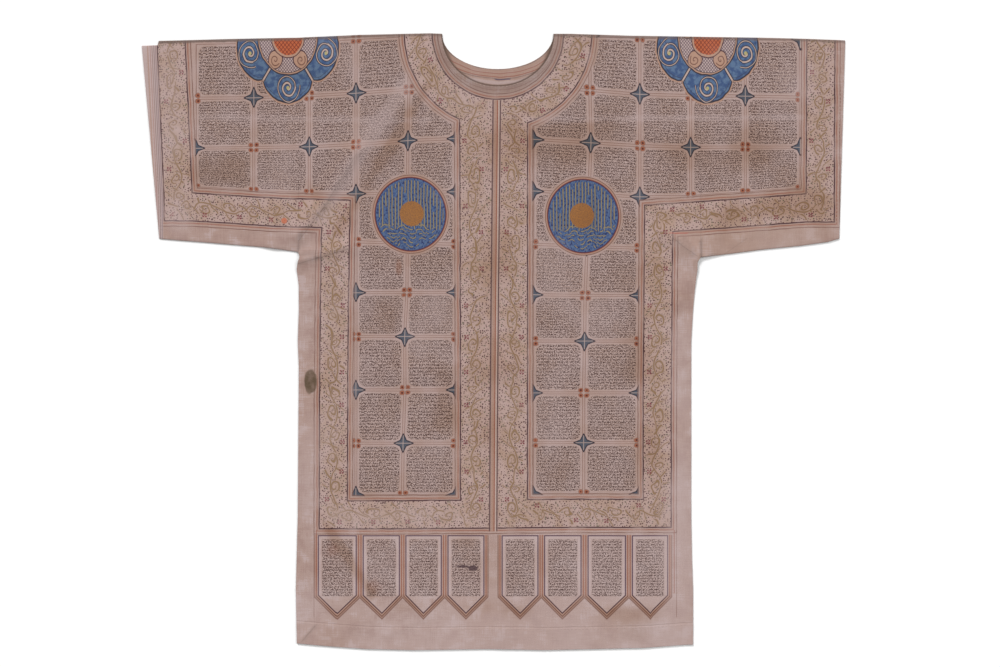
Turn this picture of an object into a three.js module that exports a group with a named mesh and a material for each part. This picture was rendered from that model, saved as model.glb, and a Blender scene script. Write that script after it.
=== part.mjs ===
// A long cotton talismanic shirt, laid flat with its sleeves spread.
//
// The shirt is cut as a straight front and a straight back with a round neck, and two wide sleeves that
// are each one cloth folded along the shoulder line and closed under the arm. Each layer is a thin wall:
// the back lies on the surface, the front lies on the back, and each sleeve is a flattened open tube.
//
// Units are millimetres and +Z is up. Sizes are given as a maker lays the shirt out: x runs across from
// the middle of the spread sleeves, and y runs up from the lowest point of the hem. The finished shirt is
// then moved so that its origin is the middle of its underside.

import * as THREE from "three";

// ---------------------------------------------------------------------------------------------------
// Driving dimensions
// ---------------------------------------------------------------------------------------------------

const LENGTH = 1140.5; // lowest hem to highest point of the shoulder
const CLOTH = 1.2; // one layer of sized and burnished cotton
const SEAM_GAP = 0.3; // clearance where two layers or two pieces meet
const NECK = { middle: 8, halfWidth: 103, frontDepth: 96, backDepth: 65 }; // two half ellipses
const UNDERARM = { bend: 690, seam: 736 }; // where the side starts to turn out, and the sleeve's seam
const HEM = { depth: 42, lift: 0.7, line: 3 }; // turned-up cloth: its depth, its extra height, its step
const CUFF = { drop: 8, step: 2 }; // the left cuff sits a little lower than the sleeve behind it
const FRONT_BASE = CLOTH + SEAM_GAP;

// The shoulder line, from the left cuff to the right one.
const SHOULDER = [
  { x: -617, y: 1126.5 },
  { x: -469, y: 1130.5 },
  { x: -358, y: 1132.5 },
  { x: -247, y: 1137.5 },
  { x: -118, y: 1140.5 },
  { x: -95, y: 1139.5 },
  { x: 141, y: 1139.5 },
  { x: 252, y: 1136 },
  { x: 382, y: 1134 },
  { x: 530, y: 1132 },
  { x: 650, y: 1127.5 },
];

// The sides of the body, from the hem to the shoulder. The armhole seams are above the underarm.
const SIDES = [
  { y: 0, left: -363.5, right: 369 },
  { y: 111, left: -365.5, right: 369 },
  { y: 170, left: -364, right: 367 },
  { y: 244, left: -362, right: 365.5 },
  { y: 525, left: -360, right: 365.5 },
  { y: 570, left: -362, right: 365.5 },
  { y: 629, left: -360, right: 369 },
  { y: 673, left: -360, right: 373 },
  { y: 703, left: -364, right: 377 },
  { y: 718, left: -361.5, right: 377 },
  { y: 726, left: -358.5, right: 383.5 },
  { y: 736, left: -361, right: 383.5 },
  { y: 1140, left: -357.5, right: 383 },
];

// The lowest edge, which sags a little between the two side seams.
const HEM_EDGE = [
  { x: -364, y: 13 },
  { x: -320, y: 9 },
  { x: -284, y: 6 },
  { x: -228, y: 2 },
  { x: -140, y: 0 },
  { x: 3, y: 2 },
  { x: 104, y: 0 },
  { x: 200, y: 2 },
  { x: 290, y: 4 },
  { x: 317, y: 6 },
  { x: 370, y: 10 },
];

// Sections of each sleeve, from the armhole to the cuff: the fold on top and the seam under the arm.
const LEFT_SLEEVE = [
  { topX: -357.5, topY: 1132.5, underX: -361, underY: 736 },
  { topX: -432, topY: 1131.2, underX: -425, underY: 744.8 },
  { topX: -500, topY: 1129.7, underX: -484, underY: 749.6 },
  { topX: -560, topY: 1128, underX: -536, underY: 754 },
  { topX: -621 + CUFF.step, topY: 1126.5, underX: -588, underY: 758 },
  { topX: -621, topY: 1126.5 - CUFF.drop, underX: -590, underY: 758.2 },
  { topX: -650.3, topY: 1125.5 - CUFF.drop, underX: -618, underY: 760.5 },
];
const RIGHT_SLEEVE = [
  { topX: 383, topY: 1134, underX: 383.5, underY: 726 },
  { topX: 437.5, topY: 1133.3, underX: 437.5, underY: 732.6 },
  { topX: 493, topY: 1132.5, underX: 493, underY: 740 },
  { topX: 567, topY: 1130.7, underX: 567, underY: 747.4 },
  { topX: 622, topY: 1128.7, underX: 618, underY: 754.5 },
  { topX: 650.3, topY: 1127.5, underX: 639.2, underY: 760.5 },
];

// The largest folds that stand up from the flat cloth, each along a straight line. Width is to one side.
const FOLDS = [
  { name: "left underarm to chest", x1: -366, y1: 768, x2: -254, y2: 921, height: 4.2, width: 30 },
  { name: "left underarm to side", x1: -362, y1: 716, x2: -262, y2: 746, height: 3.2, width: 26 },
  { name: "left sleeve fullness", x1: -410, y1: 742, x2: -386, y2: 830, height: 2.6, width: 30 },
  { name: "right underarm to chest", x1: 380, y1: 718, x2: 318, y2: 772, height: 3.6, width: 28 },
  { name: "right underarm to side", x1: 372, y1: 706, x2: 340, y2: 640, height: 2.4, width: 26 },
  { name: "right sleeve fullness", x1: 398, y1: 738, x2: 430, y2: 838, height: 2.8, width: 30 },
  { name: "left skirt", x1: -250, y1: 60, x2: -236, y2: 330, height: 2.4, width: 44 },
  { name: "middle skirt", x1: 18, y1: 40, x2: 6, y2: 300, height: 2.2, width: 48 },
  { name: "right skirt", x1: 262, y1: 56, x2: 244, y2: 360, height: 2.6, width: 46 },
  { name: "waist", x1: -300, y1: 512, x2: 250, y2: 536, height: 1.6, width: 40 },
];

// ---------------------------------------------------------------------------------------------------
// Finishes
// ---------------------------------------------------------------------------------------------------

const COTTON = { roughness: 0.85, metalness: 0 };
const frontCotton = new THREE.MeshStandardMaterial({ color: 0xb09a90, ...COTTON });
const backCotton = new THREE.MeshStandardMaterial({ color: 0xa8948b, ...COTTON });
const sleeveCotton = new THREE.MeshStandardMaterial({ color: 0xab958c, ...COTTON });

// ---------------------------------------------------------------------------------------------------
// Curves and folds
// ---------------------------------------------------------------------------------------------------

/**
 * The value of column `wanted` where column `known` is `at`, on straight lines between a table's rows.
 * The known column rises from row to row, and past either end the end row's value holds.
 */
function readTable(table, known, at, wanted) {
  const next = table.findIndex((row) => row[known] >= at);
  if (next === 0) return table[0][wanted];
  if (next < 0) return table[table.length - 1][wanted];
  const [low, high] = [table[next - 1], table[next]];
  return THREE.MathUtils.mapLinear(at, low[known], high[known], low[wanted], high[wanted]);
}

/** How far a half-ellipse neck of the given depth has cut below the shoulder line at x. */
function neckCut(x, depth) {
  const across = (x - NECK.middle) / NECK.halfWidth;
  return Math.abs(across) >= 1 ? 0 : depth * Math.sqrt(1 - across * across);
}

/** A soft hill: 1 in the middle, 0 at a distance of 1 and beyond. */
const hill = (distance) => (Math.abs(distance) < 1 ? (1 + Math.cos(Math.PI * distance)) / 2 : 0);

/** Height of the folds at a point: a soft ridge across each fold's line, dying away past its two ends. */
function foldLift(x, y) {
  let lift = 0;
  for (const { x1, y1, x2, y2, height, width } of FOLDS) {
    const run = Math.hypot(x2 - x1, y2 - y1);
    const along = ((x - x1) * (x2 - x1) + (y - y1) * (y2 - y1)) / run;
    const aside = ((x - x1) * (y2 - y1) - (y - y1) * (x2 - x1)) / run;
    const past = Math.max(0, -along, along - run);
    lift += height * hill(Math.hypot(aside, past) / width);
  }
  return lift;
}

// ---------------------------------------------------------------------------------------------------
// Closed walls
// ---------------------------------------------------------------------------------------------------

/** A closed geometry from points and from faces of four point numbers, counter-clockwise from outside. */
function solid(points, faces) {
  const geometry = new THREE.BufferGeometry();
  geometry.setAttribute("position", new THREE.Float32BufferAttribute(points.flat(), 3));
  geometry.setIndex(faces.flatMap(([a, b, c, d]) => [a, b, c, a, c, d]));
  geometry.computeVertexNormals();
  return geometry;
}

/**
 * A cloth wall between an upper and a lower skin. upper(i, j) and lower(i, j) give the points of column i
 * and row j. Columns run towards +x and rows towards +y.
 */
function sheetWall(columns, rows, upper, lower) {
  const points = [];
  for (const skin of [upper, lower]) {
    for (let i = 0; i < columns; i++) for (let j = 0; j < rows; j++) points.push(skin(i, j));
  }
  const top = (i, j) => i * rows + j;
  const under = (i, j) => columns * rows + top(i, j);
  const faces = [];
  for (let i = 0; i + 1 < columns; i++) {
    for (let j = 0; j + 1 < rows; j++) {
      faces.push([top(i, j), top(i + 1, j), top(i + 1, j + 1), top(i, j + 1)]);
      faces.push([under(i, j), under(i, j + 1), under(i + 1, j + 1), under(i + 1, j)]);
    }
    const last = rows - 1;
    faces.push([top(i, 0), under(i, 0), under(i + 1, 0), top(i + 1, 0)]);
    faces.push([top(i, last), top(i + 1, last), under(i + 1, last), under(i, last)]);
  }
  for (let j = 0; j + 1 < rows; j++) {
    const last = columns - 1;
    faces.push([top(0, j), top(0, j + 1), under(0, j + 1), under(0, j)]);
    faces.push([top(last, j), under(last, j), under(last, j + 1), top(last, j + 1)]);
  }
  return solid(points, faces);
}

/** An open tube with a wall, from rings of outer points and rings of inner points, in the same order. */
function tubeWall(outer, inner) {
  const around = outer[0].length;
  const points = [...outer.flat(), ...inner.flat()];
  const out = (i, k) => i * around + (k % around);
  const ins = (i, k) => outer.length * around + out(i, k);
  const faces = [];
  for (let k = 0; k < around; k++) {
    for (let i = 0; i + 1 < outer.length; i++) {
      faces.push([out(i, k), out(i, k + 1), out(i + 1, k + 1), out(i + 1, k)]);
      faces.push([ins(i, k), ins(i + 1, k), ins(i + 1, k + 1), ins(i, k + 1)]);
    }
    const end = outer.length - 1;
    faces.push([out(0, k), ins(0, k), ins(0, k + 1), out(0, k + 1)]);
    faces.push([out(end, k), out(end, k + 1), ins(end, k + 1), ins(end, k)]);
  }
  return solid(points, faces);
}

// ---------------------------------------------------------------------------------------------------
// Front and back
// ---------------------------------------------------------------------------------------------------

/** Places of a panel's columns: even beside the neck, and even turns of the neck's arc within it. */
function panelColumns(beside, within) {
  const [neckLeft, neckRight] = [NECK.middle - NECK.halfWidth, NECK.middle + NECK.halfWidth];
  const shoulder = SIDES[SIDES.length - 1];
  const columns = [];
  for (let i = 0; i < beside; i++) columns.push(THREE.MathUtils.lerp(shoulder.left, neckLeft, i / beside));
  for (let i = 0; i < within; i++) {
    columns.push(NECK.middle - NECK.halfWidth * Math.cos((Math.PI * i) / within));
  }
  for (let i = 0; i <= beside; i++) columns.push(THREE.MathUtils.lerp(neckRight, shoulder.right, i / beside));
  return columns;
}

/**
 * Rows of a panel: even steps between the named levels below, with `skirt`, `side` and `chest` steps from
 * the hem turn up to the side's bend, on to the underarm, and on to the head of the panel.
 */
function panelRows(skirt, side, chest) {
  const steps = (from, to, count) =>
    Array.from({ length: count }, (_, j) => ({ from, to, share: j / count }));
  return [
    ...steps("edge", "turn", 2),
    { from: "edge", to: "turn", share: 1 },
    ...steps("line", "bend", skirt),
    ...steps("bend", "underarm", side),
    ...steps("underarm", "head", chest + 1).map((row, j) => ({ ...row, share: j / chest })),
  ];
}

/** A point of a panel's grid, on the column that meets the shoulder at x. */
function panelPoint(x, row, neckDepth) {
  const edge = readTable(HEM_EDGE, "x", x, "y");
  const level = {
    edge,
    turn: edge + HEM.depth - HEM.line,
    line: edge + HEM.depth,
    bend: UNDERARM.bend,
    underarm: UNDERARM.seam,
    head: readTable(SHOULDER, "x", x, "y") - neckCut(x, neckDepth),
  };
  const y = THREE.MathUtils.lerp(level[row.from], level[row.to], row.share);
  const shoulder = SIDES[SIDES.length - 1];
  const left = readTable(SIDES, "y", y, "left");
  const right = readTable(SIDES, "y", y, "right");
  return [THREE.MathUtils.mapLinear(x, shoulder.left, shoulder.right, left, right), y];
}

/** The front: a wall that lies on the back, with the round neck, the turned hem and the folds. */
function frontPanel() {
  const columns = panelColumns(10, 12);
  const rows = panelRows(17, 3, 13);
  const upper = (i, j) => {
    const [x, y] = panelPoint(columns[i], rows[j], NECK.frontDepth);
    const hem = rows[j].from === "edge" ? HEM.lift : 0;
    return [x, y, FRONT_BASE + CLOTH + hem + foldLift(x, y)];
  };
  const lower = (i, j) => {
    const [x, y] = panelPoint(columns[i], rows[j], NECK.frontDepth);
    return [x, y, FRONT_BASE + foldLift(x, y)];
  };
  return sheetWall(columns.length, rows.length, upper, lower);
}

/** The back: a flat wall on the surface, cut higher at the neck. */
function backPanel() {
  const columns = panelColumns(5, 10);
  const rows = panelRows(9, 2, 6);
  const at = (height) => (i, j) => [...panelPoint(columns[i], rows[j], NECK.backDepth), height];
  return sheetWall(columns.length, rows.length, at(CLOTH), at(0));
}

// ---------------------------------------------------------------------------------------------------
// Sleeves
// ---------------------------------------------------------------------------------------------------

const SLEEVE = { across: 15, between: 2, round: 1.4 }; // leaf steps, added sections, edge rounding in mm

/** The sections of a sleeve with `between` more worked out between each pair that are well apart. */
function sleeveSections(table) {
  const sections = [];
  for (let i = 0; i + 1 < table.length; i++) {
    const [a, b] = [table[i], table[i + 1]];
    const steps = Math.abs(a.topX - b.topX) > 40 ? SLEEVE.between + 1 : 1;
    for (let k = 0; k < steps; k++) {
      const mix = (key) => THREE.MathUtils.lerp(a[key], b[key], k / steps);
      sections.push({ topX: mix("topX"), topY: mix("topY"), underX: mix("underX"), underY: mix("underY") });
    }
  }
  return [...sections, table[table.length - 1]];
}

/**
 * One ring of a sleeve, from the fold on top down the front leaf to the underarm seam, and back up the
 * leaf that lies on the surface. The ring is `inset` from the sleeve's outside: 0, or one cloth.
 */
function sleeveRing(section, shift, inset) {
  const { topX, topY, underX, underY } = section;
  const span = Math.hypot(topX - underX, topY - underY);
  const turn = inset / span;
  const leafStart = turn + SLEEVE.round / span;
  const point = (share, base, folded) => {
    const x = THREE.MathUtils.lerp(underX, topX, share) + shift;
    const y = THREE.MathUtils.lerp(underY, topY, share);
    return [x, y, base + (folded ? foldLift(x, y) : 0)];
  };
  const shares = Array.from({ length: SLEEVE.across + 1 }, (_, k) =>
    THREE.MathUtils.lerp(leafStart, 1 - leafStart, k / SLEEVE.across),
  );
  const middle = (FRONT_BASE + CLOTH) / 2;
  return [
    point(1 - turn, middle, false),
    ...[...shares].reverse().map((share) => point(share, FRONT_BASE + CLOTH - inset, true)),
    point(turn, middle, false),
    ...shares.map((share) => point(share, inset, false)),
  ];
}

/** A sleeve: one cloth folded along the top and closed under the arm, open at the cuff and the armhole. */
function sleeve(table, towardsCuff) {
  const sections = sleeveSections(table);
  const ordered = towardsCuff > 0 ? sections : [...sections].reverse();
  const rings = (inset) => ordered.map((section) => sleeveRing(section, towardsCuff * SEAM_GAP, inset));
  return tubeWall(rings(0), rings(CLOTH));
}

// ---------------------------------------------------------------------------------------------------
// The shirt
// ---------------------------------------------------------------------------------------------------

/** Adds one named piece to the shirt. */
function addPiece(shirt, name, geometry, material) {
  const mesh = new THREE.Mesh(geometry, material);
  mesh.name = name;
  shirt.add(mesh);
}

const shirt = new THREE.Group();
shirt.position.set(0, -LENGTH / 2, 0);
addPiece(shirt, "back_panel", backPanel(), backCotton);
addPiece(shirt, "front_panel", frontPanel(), frontCotton);
addPiece(shirt, "left_sleeve", sleeve(LEFT_SLEEVE, -1), sleeveCotton);
addPiece(shirt, "right_sleeve", sleeve(RIGHT_SLEEVE, 1), sleeveCotton);

const part = new THREE.Group();
part.add(shirt);

export default part;
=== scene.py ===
"""A long talismanic shirt of painted cotton, laid flat with its sleeves spread.

The front and the back are straight panels with a round neck, and each sleeve is one cloth folded along the
shoulder line. Sizes are millimetres as a maker lays the shirt out: x runs across from the middle of the
spread sleeves, y runs up from the lowest point of the hem, and z is the height above the surface. Meshes
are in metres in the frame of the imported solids, whose origin is the middle of the underside.
"""

from __future__ import annotations

import logging
import math
from dataclasses import dataclass
from enum import Enum

import bpy
import numpy as np
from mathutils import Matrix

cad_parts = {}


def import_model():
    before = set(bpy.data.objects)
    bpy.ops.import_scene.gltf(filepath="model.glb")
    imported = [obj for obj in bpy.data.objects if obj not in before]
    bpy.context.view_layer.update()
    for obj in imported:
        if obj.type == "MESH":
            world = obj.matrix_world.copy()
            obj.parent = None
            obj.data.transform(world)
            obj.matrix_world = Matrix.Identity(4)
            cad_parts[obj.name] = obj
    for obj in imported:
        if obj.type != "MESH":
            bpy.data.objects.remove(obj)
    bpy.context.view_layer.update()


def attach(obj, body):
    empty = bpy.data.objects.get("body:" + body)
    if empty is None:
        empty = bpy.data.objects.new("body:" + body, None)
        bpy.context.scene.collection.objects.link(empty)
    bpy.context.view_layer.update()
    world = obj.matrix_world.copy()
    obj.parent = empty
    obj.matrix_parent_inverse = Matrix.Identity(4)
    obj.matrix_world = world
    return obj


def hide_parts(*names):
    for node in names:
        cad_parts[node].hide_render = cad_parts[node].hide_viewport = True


LOG = logging.getLogger("talismanic_shirt")

# ---- Driving sizes, as the solids have them ----

MM = 0.001
LENGTH = 1140.5  # lowest hem to highest point of the shoulder
CLOTH = 1.2  # one layer of sized and burnished cotton
SEAM_GAP = 0.3  # clearance where two layers or two pieces meet
FRONT_BASE = CLOTH + SEAM_GAP
ROLL = 0.45  # how far a free cloth edge rounds over
SEAM_ROLL = 0.1  # the same where two cloths are sewn together
SEWN_GAP = 0.06  # clearance between the dressed cloths along the armholes
SHARP = math.radians(40)  # faces that meet at more than this show an edge
NECK_MIDDLE, NECK_HALF = 8.0, 103.0
NECK_FRONT, NECK_BACK = 96.0, 65.0  # depths of the front's and the back's half ellipse
NECK_ROLL, NECK_ROLL_WIDTH, NECK_ROLL_RISE = 1.3, 7.0, 25.0  # how the turned front edge stands up
BEND, UNDERARM = 690.0, 736.0  # where the side starts to turn out, and the sleeve's seam
HEM_DEPTH, HEM_LIFT, HEM_LINE = 42.0, 0.7, 3.0
FAR = 400.0  # stands for the distance from an edge that a point has nothing to do with
EDGE_PAINT = 0.6  # how far paint covers a cloth's cut edge

# The shoulder line, from the left cuff to the right one: x, y.
SHOULDER = np.array(
    [(-617, 1126.5), (-469, 1130.5), (-358, 1132.5), (-247, 1137.5), (-118, 1140.5), (-95, 1139.5)]
    + [(141, 1139.5), (252, 1136), (382, 1134), (530, 1132), (650, 1127.5)]
)
# The sides of the body, from the hem to the shoulder: y, left x, right x.
SIDES = np.array(
    [(0, -363.5, 369), (111, -365.5, 369), (170, -364, 367), (244, -362, 365.5), (525, -360, 365.5)]
    + [(570, -362, 365.5), (629, -360, 369), (673, -360, 373), (703, -364, 377), (718, -361.5, 377)]
    + [(726, -358.5, 383.5), (736, -361, 383.5), (1140, -357.5, 383)]
)
# The lowest edge, which sags a little between the side seams: x, y.
HEM_EDGE = np.array(
    [(-364, 13), (-320, 9), (-284, 6), (-228, 2), (-140, 0), (3, 2), (104, 0), (200, 2), (290, 4)]
    + [(317, 6), (370, 10)]
)
# Sections of each sleeve from the armhole to the cuff: x and y of the fold on top, x and y of the underarm.
LEFT_SLEEVE = np.array(
    [(-357.5, 1132.5, -361, 736), (-432, 1131.2, -425, 744.8), (-500, 1129.7, -484, 749.6)]
    + [(-560, 1128, -536, 754), (-619, 1126.5, -588, 758), (-621, 1118.5, -590, 758.2)]
    + [(-650.3, 1117.5, -618, 760.5)]
)
RIGHT_SLEEVE = np.array(
    [(383, 1134, 383.5, 726), (437.5, 1133.3, 437.5, 732.6), (493, 1132.5, 493, 740)]
    + [(567, 1130.7, 567, 747.4), (622, 1128.7, 618, 754.5), (650.3, 1127.5, 639.2, 760.5)]
)
# Soft hills that stand up from the flat cloth: x and y of both ends, height, width to one side.
FOLDS = np.array(
    [(-366, 768, -254, 921, 4.2, 30), (-362, 716, -262, 746, 3.2, 26), (-410, 742, -386, 830, 2.6, 30)]
    + [(380, 718, 318, 772, 3.6, 28), (372, 706, 340, 640, 2.4, 26), (398, 738, 430, 838, 2.8, 30)]
    + [(-250, 60, -236, 330, 2.4, 44), (18, 40, 6, 300, 2.2, 48), (262, 56, 244, 360, 2.6, 46)]
    + [(-300, 512, 250, 536, 1.6, 40)]
)
# Narrow ridges that handling has pressed into the cloth, with dirt and painted shade along them: x and y
# of both ends, half width, height, dirt and painted shade.
CREASES = np.array(
    [(-362, 764, -313, 820, 4.6, 1.7, 0.4), (-313, 820, -250, 918, 5.4, 1.5, 0.35)]
    + [(-361, 717, -326, 727, 4.2, 2.2, 0.6), (-326, 727, -272, 743, 4.4, 1.9, 0.6)]
    + [(-360, 732, -322, 738, 4, 1.3, 0.4), (-352, 758, -330, 790, 5, 1.0, 0.0)]
    + [(334, 762, 370, 731, 4.4, 2.0, 0.5), (350, 764, 372, 740, 4, 1.5, 0.4)]
    + [(372, 716, 383, 729, 3, 0.6, 0.4), (-352, 18.5, -328, 46.3, 2.5, 0.6, 0.5)]
    + [(-356.5, 769, -360.5, 740, 2.2, 0.5, 0.9), (384, 757, 384.5, 728, 2.2, 0.6, 0.9)]
    + [(-330, 240, -316, 470, 7, 0.35, 0.0), (300, 130, 330, 420, 8, 0.35, 0.0)]
    + [(-560, 900, -420, 870, 7, 0.4, 0.05), (430, 900, 560, 860, 7, 0.4, 0.05)]
    + [(-200, 24, -120, 60, 6, 0.4, 0.1), (120, 20, 60, 70, 6, 0.4, 0.1)]
    + [(-480, 770, -380, 792, 7, 0.6, 0.05), (440, 752, 560, 806, 8, 0.6, 0.05)]
    + [(28, 1058, 42, 1044, 3, 1.2, 0.5), (-250, 918, -130, 1040, 7, 0.7, 0.15)]
)
HEIGHT, DIRT_AND_SHADE = 5, 6  # columns of CREASES
# Sharp dark lines of dirt and painted shade along the hardest creases: x and y of both ends, cover.
SHARP_CREASES = (
    (-358, 758, -312, 818, 0.5),
    (-312, 818, -252, 916, 0.4),
    (-359, 716, -270, 742, 0.6),
    (-357, 732, -320, 735, 0.35),
    (335, 763, 378, 730, 0.55),
    (428, 733, 472, 764, 0.3),
    (-352, 18, -328, 46, 0.45),
)
# Where handling has browned the cloth, with painted shade along folds, and where folds have worn it
# pale, with painted light along them: x and y of both ends, half width, share, above 0 for brown and below
# 0 for pale.
TONES = np.array(
    [(60, 938, 480, 925, 46, 0.7), (-98, 510, -94, 430, 32, 0.5), (264, 610, 262, 510, 28, 0.5)]
    + [(-321, 250, -225, 106, 11, 1.1), (-560, 885, -470, 880, 36, 0.5), (-540, 1065, -430, 1075, 38, 0.4)]
    + [(-290, 772, -122, 1042, 13, 0.75), (-325, 850, -275, 925, 20, 0.4), (300, 700, 330, 640, 30, 0.4)]
    + [(285, 460, 300, 320, 24, 0.4), (-170, 84, 330, 66, 16, 0.4), (-8, 260, 2, 960, 34, 0.45)]
    + [(430, 806, 590, 830, 24, 0.7), (60, 982, 570, 985, 5, -0.9), (-540, 985, -120, 979, 6, -0.7)]
    + [(-318, 806, -168, 1040, 15, -1.1), (-335, 60, -342, 420, 26, -0.5), (335, 60, 348, 600, 26, -0.6)]
    + [(110, 380, 120, 520, 30, -0.3), (122, 700, 130, 640, 34, -0.35), (-115, 360, -110, 300, 34, -0.3)]
    + [(-140, 560, -120, 640, 34, -0.3), (330, 1080, 600, 1060, 30, -0.2), (-586, 800, -598, 1110, 28, -0.8)]
    + [(-300, 248, -50, 248, 22, -0.6)]
)


def to_row(points: np.ndarray) -> np.ndarray:
    """Points in metres in the frame of the solids: (x, y - LENGTH / 2, z) / 1000.

    Args:
        points: points in millimetres, y from the hem, in the last axis.

    Returns:
        The same points in metres, y from the shirt's middle.
    """
    return (points - np.array((0.0, LENGTH / 2, 0.0))) * MM


def line_distance(x: np.ndarray, y: np.ndarray, ends: np.ndarray) -> np.ndarray:
    """Distance of points from a straight line piece.

    The foot of the normal is (p - a).(b - a) / |b - a|, kept between the two ends.

    Args:
        x: across positions.
        y: positions up from the hem.
        ends: x and y of the first end, x and y of the second end.

    Returns:
        The distances, in the shape of x.
    """
    run = np.hypot(ends[2] - ends[0], ends[3] - ends[1])
    along = ((x - ends[0]) * (ends[2] - ends[0]) + (y - ends[1]) * (ends[3] - ends[1])) / run
    aside = ((x - ends[0]) * (ends[3] - ends[1]) - (y - ends[1]) * (ends[2] - ends[0])) / run
    return np.hypot(aside, np.maximum(0, np.maximum(-along, along - run)))


def line_shares(x: np.ndarray, y: np.ndarray, table: np.ndarray, share: int) -> np.ndarray:
    """Sum over a table of lines of share * exp(-(distance / half width)^2).

    Args:
        x: across positions.
        y: positions up from the hem.
        table: the lines, x and y of both ends and the half width first.
        share: the column to sum up.

    Returns:
        The sums, in the shape of x.
    """
    return sum(line[share] * np.exp(-((line_distance(x, y, line[:4]) / line[4]) ** 2)) for line in table)


def laid_height(x: np.ndarray, y: np.ndarray) -> np.ndarray:
    """Height that the upper cloth gains from folds, creases and its own soft unevenness.

    A fold is a hill, height * (1 + cos(pi d)) / 2 with d its distance over its width. The unevenness is the
    sum of four crossing sine waves, about 60 to 195 mm long and 0.05 to 0.1 mm high.

    Args:
        x: across positions.
        y: positions up from the hem.

    Returns:
        Heights to add to a flat cloth, none of them below it.
    """
    lift = 0
    for *ends, height, width in FOLDS:
        distance = np.clip(line_distance(x, y, ends) / width, 0, 1)
        lift = lift + height * ((1 + np.cos(np.pi * distance)) / 2)
    waves = (
        0.2 * np.sin(x / 31 + 1.3 * np.sin(y / 83))
        + 0.16 * np.sin(y / 27 + 1.1 * np.sin(x / 61))
        + 0.12 * np.sin((x + y) / 13.5 + np.sin(y / 37))
        + 0.1 * np.sin((x - 1.6 * y) / 19 + np.sin(x / 29))
    )
    return lift + 0.3 + 0.5 * waves + line_shares(x, y, CREASES, HEIGHT)


# ---- Meshes ----


def add_mesh(
    name: str, points: np.ndarray, faces: np.ndarray, fields: dict[str, np.ndarray]
) -> bpy.types.Object:
    """Makes a smooth mesh object at the origin.

    Args:
        name: the piece's name.
        points: n x 3 points in millimetres.
        faces: m x 4 point numbers, counter-clockwise from outside.
        fields: values at the points, stored as attributes for the material.

    Returns:
        The object, linked to the scene.
    """
    mesh = bpy.data.meshes.new(name)
    mesh.from_pydata(to_row(points).tolist(), [], faces.tolist())
    for label, values in fields.items():
        attribute = mesh.attributes.new(label, "FLOAT", "POINT")
        attribute.data.foreach_set("value", np.ascontiguousarray(values, np.float32))
    mesh.polygons.foreach_set("use_smooth", np.ones(len(mesh.polygons), bool))
    mesh.validate()
    mesh.update()
    mesh.set_sharp_from_angle(angle=SHARP)
    piece = bpy.data.objects.new(name, mesh)
    bpy.context.scene.collection.objects.link(piece)
    return piece


def grid_faces(index: np.ndarray) -> np.ndarray:
    """Faces of a grid of point numbers, facing up where columns run to +x and rows to +y."""
    corners = (index[:-1, :-1], index[1:, :-1], index[1:, 1:], index[:-1, 1:])
    return np.stack(corners, axis=-1).reshape(-1, 4)


def closed(index: np.ndarray) -> np.ndarray:
    """A grid of point numbers with its first row position repeated at the end, so that it closes."""
    return np.concatenate((index, index[:, :1]), axis=1)


def loop_faces(first: np.ndarray, second: np.ndarray) -> np.ndarray:
    """Faces between two closed loops of point numbers: first(k), second(k), second(k + 1), first(k + 1)."""
    return np.stack((first, second, np.roll(second, -1), np.roll(first, -1)), axis=-1)


def inset_border(grid: np.ndarray) -> np.ndarray:
    """Moves a grid's border points towards their inner neighbours.

    They move by ROLL, and by SEAM_ROLL on the sides above the underarm, where a sleeve is sewn on.

    Args:
        grid: columns x rows x 2 positions.

    Returns:
        A changed copy.
    """
    moved = grid.copy()
    for edge, inner in ((0, 1), (-1, -2)):
        step = grid[inner] - grid[edge]
        by = np.where(grid[edge][:, 1:] > UNDERARM + 1, SEAM_ROLL, ROLL)
        moved[edge] += by * step / np.linalg.norm(step, axis=-1, keepdims=True)
        step = grid[:, inner] - grid[:, edge]
        moved[:, edge] += ROLL * step / np.linalg.norm(step, axis=-1, keepdims=True)
    return moved


def closed_wall(plan: np.ndarray, top: np.ndarray, under: np.ndarray) -> tuple[np.ndarray, np.ndarray]:
    """A cloth wall with a rounded edge.

    The upper and lower skins are inset by ROLL at the border, and a ring at half height stands at the
    outline, so the edge is round.

    Args:
        plan: columns x rows x 2 outline positions.
        top: heights of the upper skin.
        under: heights of the lower skin.

    Returns:
        Points and faces: the upper skin first, then the lower skin, then the ring.
    """
    skin = inset_border(plan)
    index = np.arange(top.size).reshape(top.shape)
    rim = np.concatenate((index[:-1, 0], index[-1, :-1], index[:0:-1, -1], index[0, :0:-1]))
    pairs = ((skin, top), (skin, under), (plan, (top + under) / 2))
    layers = [np.dstack(pair).reshape(-1, 3) for pair in pairs]
    points = np.concatenate((layers[0], layers[1], layers[2][rim]))
    middle = 2 * top.size + np.arange(len(rim))
    skins = (grid_faces(index), grid_faces(index + top.size)[:, ::-1])
    return points, np.concatenate((*skins, loop_faces(rim, middle), loop_faces(middle, rim + top.size)))


# ---- The painted design's layout ----

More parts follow.
